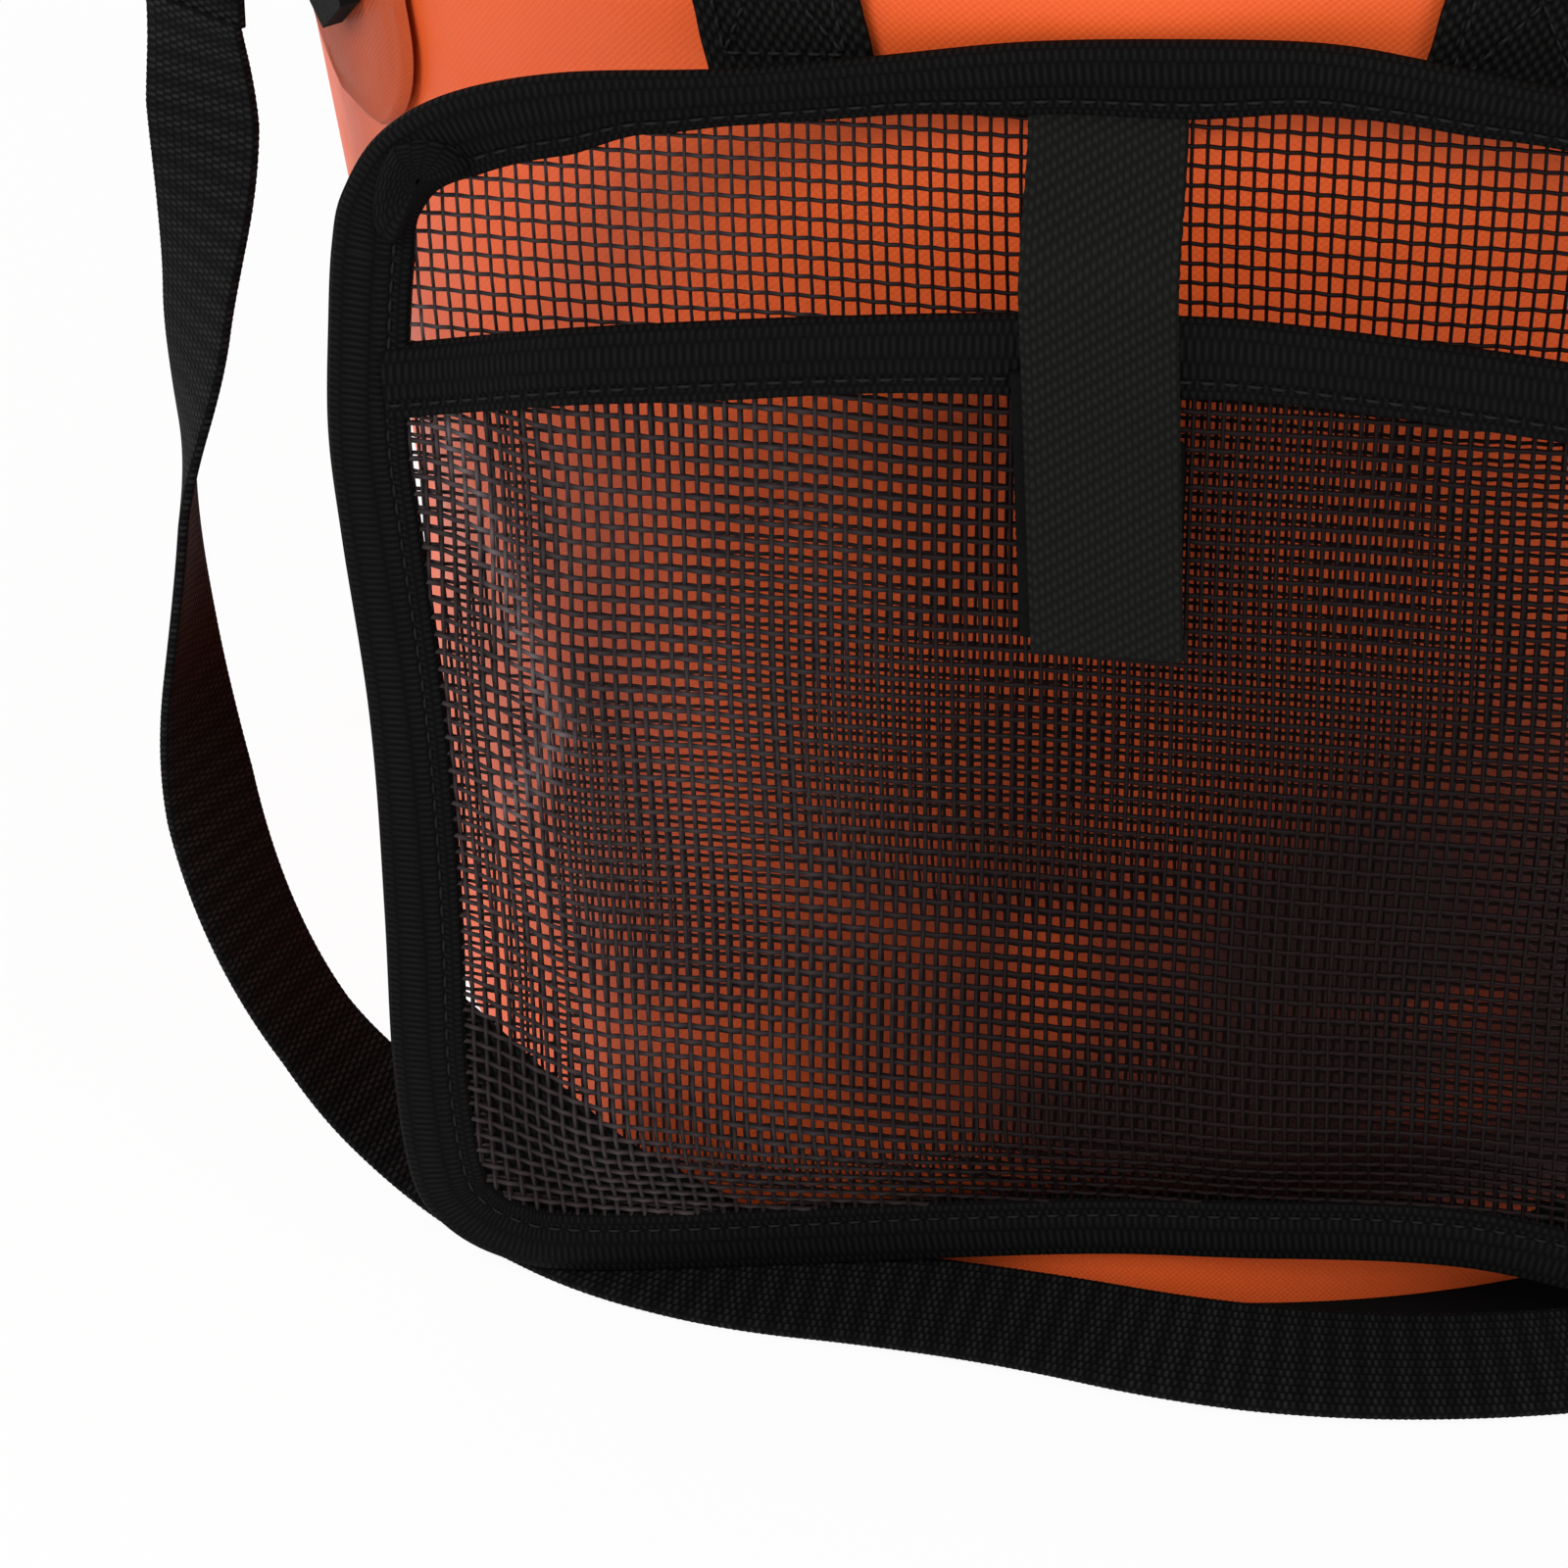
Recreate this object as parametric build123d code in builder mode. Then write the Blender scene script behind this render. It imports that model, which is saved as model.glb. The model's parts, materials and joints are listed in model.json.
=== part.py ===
"""Round soft tool bucket of coated tarpaulin with a front mesh tool pocket.

Frame: millimetres, +Z up, origin at the centre of the base on the floor, front of the bucket at -Y.
"""
from build123d import *
from math import asin, atan, cos, degrees, hypot, radians, sin, tan
import os

# ---- driving dimensions (mm) ----
base_radius = 120.0
rim_radius = 160.0
rim_height = 300.0
wall_thickness = 1.2
base_thickness = 1.2
base_flange_height = 18.0
board_thickness = 4.0
board_margin = 2.0
seam_gap = 0.2
seat_gap = 0.3

hoop_rod_radius = 3.0
hem_thickness = 1.0
hem_height = 24.0
back_seam_width = 24.0

webbing_width = 25.0
webbing_thickness = 1.6
leg_azimuth = 18.2
leg_splay = 8.0
leg_length = 105.0
leg_lap = 10.0
leg_joint_height = 12.0
handle_straight = 44.0
handle_foot_shift = 14.0
handle_foot_inset = 8.0
grip_half_angle = 42.0
grip_thickness = 1.8
grip_gap = 0.3

ring_azimuth = 55.0
patch_width = 43.0
patch_length = 106.0
patch_below_hem = 3.0
patch_thickness = 1.0
tab_webbing_width = 20.0
tab_webbing_thickness = 1.5
tab_tip_depth = 7.0
tab_tip_above_patch = 15.0
tab_fold_run = 14.0
ring_below_patch_top = 3.0
ring_wire_radius = 2.0
ring_inner_width = 22.0
ring_drop = 20.0
hook_hang = 15.0
running_clearance = 0.1

hook_inner_radius = 5.0
hook_bar = 3.6
hook_thickness = 5.6
hook_reach = 15.0
hook_web = 7.0
collar_radius = 4.5
collar_length = 5.0
mouth_play = 0.3
gate_thickness = 3.0
gate_leaf = 3.0
gate_pin_radius = 0.8
swivel_radius = 1.4
swivel_head_radius = 2.0
swivel_head_height = 1.4
eye_bar = 3.0
eye_depth = 3.5
eye_opening = 7.0
fold_length = 12.0
strap_fold_run = 9.0
strap_facing = -35.0

pocket_width = 214.0
pocket_bottom = 19.0
pocket_top = 215.0
pocket_top_droop = 20.0
pocket_bottom_droop = 10.0
pocket_corner_top = 21.0
pocket_corner_bottom = 17.0
mesh_thickness = 1.0
binding_width = 10.0
binding_thickness = 0.9
mouth_height = 180.0
mouth_droop = 9.0
bulge_depth = 9.0
bulge_draft = 52.0
gusset_height = 31.0
gusset_width = 38.0
gusset_thickness = 0.8

closure_length = 75.0
closure_width = 21.0
closure_thickness = 1.6
fastener_length = 30.0
fastener_width = 18.0
fastener_from_end = 3.0
fastener_thickness = 1.0

strap_width = 20.0
strap_thickness = 1.6

# ---- derived sizes ----
wall_slope = (rim_radius - base_radius) / rim_height
slope_angle = degrees(atan(wall_slope))
slope_length = hypot(1.0, wall_slope)
bead_centre_radius = rim_radius - wall_thickness / 2
bead_inner = hoop_rod_radius + seam_gap
bead_outer = bead_inner + hem_thickness
hem_stand = seam_gap + hem_thickness
bead_stand = bead_outer - wall_thickness / 2
hem_bottom = rim_height - hem_height
leg_bottom = rim_height - leg_length
patch_top = hem_bottom - patch_below_hem
patch_bottom = patch_top - patch_length


def wall_radius(height):
    """Outer radius of the bare wall at a height."""
    return base_radius + wall_slope * height


def wall_plane(azimuth, stand_off=0.0):
    """Plane that touches the wall along one line: x runs round the bucket, y up the slope, z outward."""
    out = (sin(radians(azimuth)), -cos(radians(azimuth)))
    reach = base_radius + stand_off
    return Plane(
        origin=(out[0] * reach, out[1] * reach, 0),
        x_dir=(-out[1], out[0], 0),
        z_dir=(out[0], out[1], -wall_slope),
    )


def wall_skin(inner, outer, bottom, top):
    """Conical shell between two distances from the wall's outer face."""
    with BuildPart(mode=Mode.PRIVATE) as skin:
        with BuildSketch(Plane.XZ):
            with BuildLine():
                Polyline(
                    (wall_radius(bottom) + inner, bottom),
                    (wall_radius(bottom) + outer, bottom),
                    (wall_radius(top) + outer, top),
                    (wall_radius(top) + inner, top),
                    close=True,
                )
            make_face()
        revolve(axis=Axis.Z)
    return skin.part


def save(name, part):
    """Label a finished piece and write it as its own STEP file."""
    part.label = name
    export_step(part, f"parts/{name}.step")


os.makedirs("parts", exist_ok=True)

# ---- bucket: wall, base, board, hem and hoop ----
with BuildPart() as bucket_wall:
    add(wall_skin(-wall_thickness, 0, 0, rim_height - bead_outer))
save("bucket_wall", bucket_wall.part)

with BuildPart() as base_disc:
    inside = wall_thickness + seam_gap
    with BuildSketch(Plane.XZ):
        with BuildLine():
            Polyline(
                (0, 0),
                (wall_radius(0) - inside, 0),
                (wall_radius(base_flange_height) - inside, base_flange_height),
                (wall_radius(base_flange_height) - inside - base_thickness, base_flange_height),
                (wall_radius(base_thickness) - inside - base_thickness, base_thickness),
                (0, base_thickness),
                close=True,
            )
        make_face()
    revolve(axis=Axis.Z)
save("base_disc", base_disc.part)

board_radius = wall_radius(base_thickness) - wall_thickness - seam_gap - base_thickness - board_margin
with BuildPart() as base_board:
    with BuildSketch(Plane.XY.offset(base_thickness + seam_gap)):
        Circle(board_radius)
    extrude(amount=board_thickness)
    fillet(base_board.edges().group_by(Axis.Z)[-1], radius=1.0)
save("base_board", base_board.part)

with BuildPart() as rim_hoop:
    with BuildSketch(Plane.XZ):
        with Locations((bead_centre_radius, rim_height)):
            Circle(hoop_rod_radius)
    revolve(axis=Axis.Z)
save("rim_hoop", rim_hoop.part)

with BuildPart() as rim_hem:
    with BuildSketch(Plane.XZ):
        with Locations((bead_centre_radius, rim_height)):
            Circle(bead_outer)
        for inner, outer, mode in (
            (-wall_thickness - hem_stand, hem_stand, Mode.ADD),
            (-wall_thickness - seam_gap, seam_gap, Mode.SUBTRACT),
        ):
            with BuildLine():
                Polyline(
                    (wall_radius(hem_bottom) + inner, hem_bottom),
                    (wall_radius(hem_bottom) + outer, hem_bottom),
                    (wall_radius(rim_height) + outer, rim_height),
                    (wall_radius(rim_height) + inner, rim_height),
                    close=True,
                )
            make_face(mode=mode)
        with Locations((bead_centre_radius, rim_height)):
            Circle(bead_inner, mode=Mode.SUBTRACT)
    revolve(axis=Axis.Z)
save("rim_hem", rim_hem.part)

with BuildPart() as back_seam:
    add(wall_skin(seam_gap, seam_gap + wall_thickness, 0.5, hem_bottom - seat_gap))
    with BuildSketch(Plane.XZ.offset(-base_radius / 2)):
        with Locations((0, rim_height / 2)):
            Rectangle(back_seam_width, 2 * rim_height)
    extrude(amount=-2 * rim_radius, mode=Mode.INTERSECT)
save("back_seam", back_seam.part)

# ---- handle webbing: four legs sewn on the wall, two loops above the rim ----
foot_height = rim_height + leg_joint_height
foot_x = wall_radius(rim_height) * sin(radians(leg_azimuth)) + handle_foot_shift
foot_y = wall_radius(rim_height) + bead_stand - handle_foot_inset
leg_lay = seat_gap + webbing_thickness / 2


def ribbon(sections, width, thickness):
    """Flat webbing lofted through (centre, tangent, across) sections."""
    with BuildPart(mode=Mode.PRIVATE) as piece:
        for centre, tangent, across in sections:
            with BuildSketch(Plane(origin=centre, x_dir=across, z_dir=tangent)):
                Rectangle(width, thickness)
        loft(ruled=True)
    return piece.part


def leg_sections():
    """Sections of the front right leg: up the wall, over the hem and its bead, then square to the front."""
    stations = (
        (leg_bottom, leg_lay, 0.0),
        ((leg_bottom + hem_bottom) / 2, leg_lay, 0.0),
        (hem_bottom - leg_lap, leg_lay, 0.0),
        (hem_bottom - 0.1 * leg_lap, leg_lay + hem_stand, 0.0),
        (rim_height - 0.7 * leg_lap, leg_lay + hem_stand + 0.5, 0.0),
        (rim_height - 0.2 * leg_lap, leg_lay + bead_stand, 0.0),
        (rim_height + 0.2 * leg_lap, leg_lay + bead_stand, 0.1),
    )
    rise = tan(radians(leg_splay))
    places = []
    for height, stand, turn in stations:
        reach = wall_radius(height) + stand
        shift = degrees(rise * (height - leg_bottom) / reach)
        azimuth = radians(leg_azimuth + shift)
        facing = azimuth * (1 - turn)
        centre = Vector(reach * sin(azimuth), -reach * cos(azimuth), height)
        places.append((centre, Vector(cos(facing), sin(facing), 0)))
    top = Vector(foot_x, -foot_y, foot_height - webbing_thickness / 2 - seat_gap)
    places.append((top, Vector(1, 0, 0)))
    sections = []
    for index, (centre, across) in enumerate(places):
        before = places[max(index - 1, 0)][0]
        after = places[min(index + 1, len(places) - 1)][0]
        tangent = (after - before).normalized() if index < len(places) - 1 else Vector(0, 0, 1)
        level = across - tangent * across.dot(tangent)
        sections.append((centre, tangent, level.normalized()))
    return sections


front_right_leg = ribbon(leg_sections(), webbing_width, webbing_thickness)
front_left_leg = front_right_leg.mirror(Plane.YZ)
save("front_right_leg", front_right_leg)
save("front_left_leg", front_left_leg)
save("back_right_leg", front_right_leg.mirror(Plane.XZ))
save("back_left_leg", front_left_leg.mirror(Plane.XZ))

arch_radius = foot_x / cos(radians(leg_splay)) + handle_straight * tan(radians(leg_splay))
arch_height = foot_height + handle_straight * cos(radians(leg_splay)) + arch_radius * sin(radians(leg_splay))


def arch_point(angle):
    """Point on the loop's arch, its angle measured from the right-hand side."""
    return Vector(arch_radius * cos(radians(angle)), -foot_y, arch_height + arch_radius * sin(radians(angle)))


def handle_sections():
    """Half loop: a straight foot that turns a quarter twist, then the arch up to the middle."""
    lean = Vector(sin(radians(leg_splay)), 0, cos(radians(leg_splay)))
    foot = Vector(foot_x, -foot_y, foot_height)
    flat = Vector(cos(radians(leg_splay)), 0, -sin(radians(leg_splay)))
    sections = [(foot, Vector(0, 0, 1), Vector(1, 0, 0))]
    steps = 6
    for step in range(1, steps + 1):
        share = step / steps
        twist = radians(90 * share * share * (3 - 2 * share))
        across = flat * cos(twist) + Vector(0, 1, 0) * sin(twist)
        sections.append((foot + lean * (handle_straight * share), lean, across))
    arch_steps = 12
    for angle in (90 * step / arch_steps for step in range(arch_steps)):
        tangent = Vector(-sin(radians(angle)), 0, cos(radians(angle)))
        if angle > 2:
            sections.append((arch_point(angle), tangent, Vector(0, 1, 0)))
    tangent = Vector(-1, 0, 0)
    sections.append((arch_point(90), tangent, Vector(0, 1, 0)))
    return sections


half_loop = ribbon(handle_sections(), webbing_width, webbing_thickness)
with BuildPart() as front_handle:
    add(half_loop)
    with BuildSketch(Plane.YZ.offset(foot_x - webbing_width / 2)):
        with Locations((-foot_y, foot_height)):
            Circle(webbing_thickness / 2)
    extrude(amount=webbing_width)
    mirror(about=Plane.YZ)
save("front_handle", front_handle.part)
save("back_handle", front_handle.part.mirror(Plane.XZ))

grip_inner = webbing_thickness / 2 + grip_gap
grip_outer = grip_inner + grip_thickness
with BuildPart() as front_grip:
    with BuildSketch(Plane.XZ.offset(foot_y - webbing_width / 2 - grip_gap - grip_thickness)):
        grip_start = 90 - grip_half_angle
        with BuildLine():
            outer_arc = CenterArc((0, arch_height), arch_radius + grip_outer, grip_start, 2 * grip_half_angle)
            inner_arc = CenterArc((0, arch_height), arch_radius - grip_outer, grip_start, 2 * grip_half_angle)
            Line(outer_arc @ 0, inner_arc @ 0)
            Line(outer_arc @ 1, inner_arc @ 1)
        make_face()
    extrude(amount=webbing_width + 2 * (grip_gap + grip_thickness))
    fillet(front_grip.edges().filter_by(GeomType.CIRCLE), radius=grip_thickness * 0.9)
    with BuildSketch(Plane.XZ.offset(foot_y - webbing_width / 2 - grip_gap)):
        with Locations((0, arch_height)):
            Circle(arch_radius + grip_inner)
            Circle(arch_radius - grip_inner, mode=Mode.SUBTRACT)
    extrude(amount=webbing_width + 2 * grip_gap, mode=Mode.SUBTRACT)
save("front_grip", front_grip.part)
save("back_grip", front_grip.part.mirror(Plane.XZ))

# ---- strap hardware on both sides: patch, tab, D-ring, snap hook and strap end ----
tab_lay = seam_gap + patch_thickness + seam_gap + 0.1
fold_inner = ring_wire_radius + running_clearance
fold_outer = fold_inner + tab_webbing_thickness
bar_stand = tab_lay + fold_outer
hook_outer_radius = hook_inner_radius + hook_bar
hook_bottom = hook_reach + hook_web
pivot_x = hook_inner_radius + gate_leaf / 2 + mouth_play
knuckle_radius = 0.8 * gate_leaf
pivot_y = -hook_reach - knuckle_radius + seam_gap
nose_y = -0.6 * hook_inner_radius
eye_top = -hook_bottom - collar_length - seat_gap
eye_width = tab_webbing_width + 2.0 + 2 * eye_bar
eye_height = eye_opening + 2 * eye_bar
eye_bar_y = eye_top - eye_height + eye_bar / 2
sleeve_inner = hypot(eye_bar, eye_depth) / 2 + seat_gap
ring_bar_height = patch_top - ring_below_patch_top
hang_depth = ring_drop - eye_top + eye_height
ring_lean = degrees(asin((hook_hang - wall_slope * hang_depth) / ring_drop))


def ring_frame(azimuth):
    """Bar point, bow point, tangent and direction from bar to bow of a D-ring at rest."""
    touch = wall_plane(azimuth)
    bar = touch.origin + touch.y_dir * (ring_bar_height * slope_length) + touch.z_dir * bar_stand
    out = Vector(sin(radians(azimuth)), -cos(radians(azimuth)), 0)
    drop = out * sin(radians(ring_lean)) - Vector(0, 0, 1) * cos(radians(ring_lean))
    return bar, bar + drop * ring_drop, touch.x_dir, drop


def build_side(azimuth, side, facing):
    """All pieces of one strap attachment; facing turns the strap end round the upright."""
    touch = wall_plane(azimuth)
    out = Vector(sin(radians(azimuth)), -cos(radians(azimuth)), 0)
    bar, bow, tangent, drop = ring_frame(azimuth)

    with BuildPart() as ring_patch:
        add(wall_skin(seam_gap, seam_gap + patch_thickness, patch_bottom - patch_below_hem, hem_bottom))
        with BuildSketch(touch):
            middle = (patch_bottom + patch_top) / 2 * slope_length
            with Locations((0, middle)):
                SlotOverall((patch_top - patch_bottom) * slope_length, patch_width, rotation=90)
        extrude(amount=patch_width / 2, both=True, mode=Mode.INTERSECT)
    save(f"ring_patch_{side}", ring_patch.part)

    profile_plane = Plane(origin=touch.origin, x_dir=touch.z_dir, z_dir=-touch.x_dir)
    tip_v = (patch_bottom + tab_tip_above_patch) * slope_length
    bar_v = ring_bar_height * slope_length
    fold_v = bar_v - tab_fold_run
    doubled = 2 * tab_webbing_thickness
    with BuildPart() as ring_tab:
        with BuildSketch(profile_plane):
            with Locations((bar_stand, bar_v)):
                Circle(fold_outer)
            with Locations((tab_lay + doubled / 2, fold_v)):
                Rectangle(doubled, tab_webbing_thickness)
            make_hull()
            with Locations((tab_lay + doubled / 2, (tip_v + fold_v) / 2)):
                Rectangle(doubled, fold_v - tip_v)
            with Locations((bar_stand, bar_v)):
                Circle(fold_inner, mode=Mode.SUBTRACT)
        extrude(amount=tab_webbing_width / 2, both=True)
        with BuildSketch(touch):
            half = tab_webbing_width / 2
            with BuildLine():
                Polyline(
                    (-half, bar_v + 2 * fold_outer),
                    (-half, tip_v + tab_tip_depth),
                    (0, tip_v),
                    (half, tip_v + tab_tip_depth),
                    (half, bar_v + 2 * fold_outer),
                    close=True,
                )
            make_face()
        extrude(amount=patch_width, both=True, mode=Mode.INTERSECT)
    save(f"ring_tab_{side}", ring_tab.part)

    half_ring = ring_inner_width / 2 + ring_wire_radius
    corner = 1.4 * ring_wire_radius
    bow_corner = 0.92 * half_ring
    with BuildPart() as d_ring:
        with BuildLine(Plane(origin=bar, x_dir=tangent, z_dir=tangent.cross(drop))):
            ring_line = FilletPolyline(
                (-half_ring, 0),
                (half_ring, 0),
                (half_ring, ring_drop),
                (-half_ring, ring_drop),
                radius=[corner, corner, bow_corner, bow_corner],
                close=True,
            )
        with BuildSketch(Plane(origin=ring_line @ 0, z_dir=ring_line % 0)):
            Circle(ring_wire_radius)
        sweep()
    save(f"d_ring_{side}", d_ring.part)

    centre = bow - Vector(0, 0, 1) * (hook_inner_radius - ring_wire_radius - seam_gap)
    hook_plane = Plane(origin=centre, x_dir=out, z_dir=(out.Y, -out.X, 0))
    below = Plane(origin=centre, x_dir=out, z_dir=(0, 0, -1))
    with BuildPart() as hook_body:
        with BuildSketch(hook_plane) as hook_outline:
            Circle(hook_outer_radius)
            with Locations((0, -hook_bottom / 2)):
                Rectangle(2 * hook_outer_radius, hook_bottom)
            fillet(hook_outline.vertices().group_by(Axis.Y)[0], radius=hook_bar)
            Circle(hook_inner_radius, mode=Mode.SUBTRACT)
            with Locations((0, -hook_reach / 2)):
                Rectangle(2 * hook_inner_radius, hook_reach, mode=Mode.SUBTRACT)
            with Locations((hook_outer_radius, (nose_y - hook_reach - hook_bar) / 2)):
                Rectangle(2 * hook_bar + seam_gap, hook_reach + hook_bar + nose_y, mode=Mode.SUBTRACT)
        extrude(amount=hook_thickness / 2, both=True)
        with BuildSketch(hook_plane):
            with Locations((pivot_x, pivot_y)):
                Circle(knuckle_radius)
        extrude(amount=hook_thickness / 2, both=True)
        with BuildSketch(hook_plane):
            with Locations((pivot_x, pivot_y)):
                Circle(knuckle_radius + mouth_play)
            with Locations((pivot_x, pivot_y + hook_reach / 2)):
                Rectangle(2 * (knuckle_radius + mouth_play), hook_reach)
        extrude(amount=gate_thickness / 2 + running_clearance, both=True, mode=Mode.SUBTRACT)
        with BuildSketch(hook_plane):
            with Locations((pivot_x, pivot_y)):
                Circle(gate_pin_radius)
        extrude(amount=hook_thickness / 2, both=True)
        with BuildSketch(below.offset(hook_bottom - hook_web / 2)):
            Circle(collar_radius)
        extrude(amount=collar_length + hook_web / 2)
        with BuildSketch(below.offset(hook_reach)):
            Circle(swivel_radius + running_clearance)
        extrude(amount=hook_web + collar_length, mode=Mode.SUBTRACT)
    save(f"hook_body_{side}", hook_body.part)

    with BuildPart() as hook_gate:
        with BuildSketch(hook_plane):
            with Locations((pivot_x, pivot_y)):
                Circle(knuckle_radius)
            leaf_top = nose_y - seat_gap
            with Locations((pivot_x, (leaf_top + pivot_y) / 2)):
                Rectangle(gate_leaf, leaf_top - pivot_y)
            with Locations((pivot_x, pivot_y)):
                Circle(gate_pin_radius + running_clearance, mode=Mode.SUBTRACT)
        extrude(amount=gate_thickness / 2, both=True)
    save(f"hook_gate_{side}", hook_gate.part)

    across = Vector(cos(radians(facing)), sin(radians(facing)), 0)
    eye_plane = Plane(origin=centre, x_dir=across, z_dir=across.cross(Vector(0, 0, 1)))
    with BuildPart() as swivel_eye:
        with BuildSketch(eye_plane):
            with Locations((0, eye_top - eye_height / 2)):
                RectangleRounded(eye_width, eye_height, 1.3 * eye_bar)
                RectangleRounded(eye_width - 2 * eye_bar, eye_opening, eye_bar / 2, mode=Mode.SUBTRACT)
        extrude(amount=eye_depth / 2, both=True)
        stem_top = hook_reach - seat_gap - swivel_head_height
        with BuildSketch(below.offset(stem_top)):
            Circle(swivel_radius)
        extrude(amount=eye_bar / 2 - eye_top - stem_top)
        with BuildSketch(below.offset(stem_top)):
            Circle(swivel_head_radius)
        extrude(amount=swivel_head_height)
    save(f"swivel_eye_{side}", swivel_eye.part)

    sleeve_outer = sleeve_inner + strap_thickness
    layers = 2 * strap_thickness
    fold_plane = Plane(origin=centre, x_dir=across.cross(Vector(0, 0, 1)), z_dir=across * -1)
    with BuildPart() as strap_end:
        with BuildSketch(fold_plane):
            with Locations((0, eye_bar_y)):
                Circle(sleeve_outer)
            with Locations((0, eye_bar_y - strap_fold_run)):
                Rectangle(layers, strap_thickness)
            make_hull()
            with Locations((0, eye_bar_y - strap_fold_run - fold_length / 2)):
                Rectangle(layers, fold_length)
            with Locations((0, eye_bar_y)):
                Circle(sleeve_inner, mode=Mode.SUBTRACT)
        extrude(amount=strap_width / 2, both=True)
    save(f"strap_end_{side}", strap_end.part)
    return centre - Vector(0, 0, 1) * (strap_fold_run + fold_length - eye_bar_y + seat_gap), across


left_start, left_across = build_side(-ring_azimuth, "left", strap_facing)
right_start, right_across = build_side(ring_azimuth, "right", -strap_facing)

# ---- shoulder strap: down from the left hook, round the front on the floor, up to the right hook ----
strap_points = [
    tuple(left_start),
    (-142.0, -101.0, 112.0),
    (-141.0, -101.0, 62.0),
    (-127.0, -103.0, 22.0),
    (-98.0, -112.5, 3.2),
    (-66.0, -128.8, 2.0),
    (-24.0, -136.5, 2.8),
    (24.0, -138.2, 3.4),
    (66.0, -131.2, 2.0),
    (101.0, -115.5, 3.2),
    (129.0, -104.0, 22.0),
    (141.0, -101.0, 62.0),
    (142.0, -101.0, 112.0),
    tuple(right_start),
]
strap_across = [
    tuple(left_across),
    (0.17, -0.98, 0),
    (-0.45, -0.89, -0.1),
    (-0.41, -0.90, 0),
    (-0.69, -0.70, -0.15),
    (-0.26, -0.97, -0.02),
    (-0.10, -0.98, 0.14),
    (0.05, -0.98, -0.21),
    (0.26, -0.97, -0.02),
    (0.62, -0.75, -0.12),
    (0.68, -0.62, -0.40),
    (0.80, -0.55, -0.1),
    (1.0, -0.1, 0),
    tuple(right_across),
]


def turn_radii(points):
    """Radius of each bend: most of the shorter neighbouring run."""
    radii = []
    for before, here, after in zip(points, points[1:], points[2:]):
        run_in = Vector(*here) - Vector(*before)
        run_out = Vector(*after) - Vector(*here)
        half_turn = radians(run_in.get_angle(run_out)) / 2
        radii.append(0.45 * min(run_in.length, run_out.length) / tan(half_turn))
    return radii


def strap_sections(points, across):
    """Sections along the filleted route; the width direction turns evenly between the middles of the bends."""
    route = FilletPolyline(*points, radius=turn_radii(points))
    starts = [0.0]
    for edge in route.edges():
        starts.append(starts[-1] + edge.length)
    middles = [(starts[i] + starts[i + 1]) / 2 for i in range(1, len(starts) - 1, 2)]
    keys = [0.0] + middles + [starts[-1]]
    sections = []
    for index, edge in enumerate(route.edges()):
        steps = 4 if index % 2 else 3
        for step in range(0 if index == 0 else 1, steps + 1):
            place = starts[index] + edge.length * step / steps
            spot = max(i for i in range(len(keys) - 1) if keys[i] <= place)
            share = (place - keys[spot]) / (keys[spot + 1] - keys[spot])
            tangent = edge % (step / steps)
            wide = Vector(*across[spot]) * (1 - share) + Vector(*across[spot + 1]) * share
            level = wide - tangent * wide.dot(tangent)
            sections.append((edge @ (step / steps), tangent, level.normalized()))
    sections[0] = (sections[0][0], Vector(0, 0, -1), sections[0][2])
    sections[-1] = (sections[-1][0], Vector(0, 0, 1), sections[-1][2])
    return sections, starts[-1]


sections, strap_length = strap_sections(strap_points, strap_across)
shoulder_strap = ribbon(sections, strap_width, strap_thickness)
save("shoulder_strap", shoulder_strap)
print("strap turn radii", [round(radius) for radius in turn_radii(strap_points)])
print("strap length", round(strap_length, 1), "volume share",
      round(shoulder_strap.volume / (strap_length * strap_width * strap_thickness), 3))

# ---- front pocket: mesh back, bulged mesh front, folded bindings, corner gussets ----
pocket_plane = wall_plane(0, seat_gap)
binding_fold = binding_thickness + seam_gap
mesh_lay = binding_fold
pocket_stack = 2 * binding_fold + mesh_thickness


def up(height):
    """Distance up the pocket's slope for a height above the floor."""
    return height * slope_length


def pocket_slab(inset, low, high):
    """Slab between two distances from the pocket's back: arched top and bottom edges, rounded corners."""
    half = pocket_width / 2 - inset
    top_edge = up(pocket_top) - inset
    low_edge = up(pocket_bottom) + inset
    with BuildPart(mode=Mode.PRIVATE) as slab:
        with BuildSketch(pocket_plane.offset(low)) as outline:
            with BuildLine():
                ThreePointArc((-half, top_edge - pocket_top_droop), (0, top_edge), (half, top_edge - pocket_top_droop))
                ThreePointArc(
                    (-half, low_edge - pocket_bottom_droop), (0, low_edge), (half, low_edge - pocket_bottom_droop)
                )
                Line((-half, low_edge - pocket_bottom_droop), (-half, top_edge - pocket_top_droop))
                Line((half, low_edge - pocket_bottom_droop), (half, top_edge - pocket_top_droop))
            make_face()
            fillet(outline.vertices().group_by(Axis.Y)[-1], radius=pocket_corner_top - inset)
            fillet(outline.vertices().sort_by(Axis.Y)[:2], radius=pocket_corner_bottom - inset)
        extrude(amount=high - low)
    return slab.part


with BuildPart() as pocket_back_panel:
    add(pocket_slab(binding_thickness + seam_gap, mesh_lay, mesh_lay + mesh_thickness))
save("pocket_back_panel", pocket_back_panel.part)

with BuildPart() as pocket_edge_binding:
    add(pocket_slab(0, 0, pocket_stack))
    add(pocket_slab(binding_width, -binding_fold, pocket_stack + binding_fold), mode=Mode.SUBTRACT)
    add(
        pocket_slab(binding_thickness, mesh_lay - seam_gap, mesh_lay + mesh_thickness + seam_gap),
        mode=Mode.SUBTRACT,
    )
save("pocket_edge_binding", pocket_edge_binding.part)

bulge_base = pocket_stack + seam_gap


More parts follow.
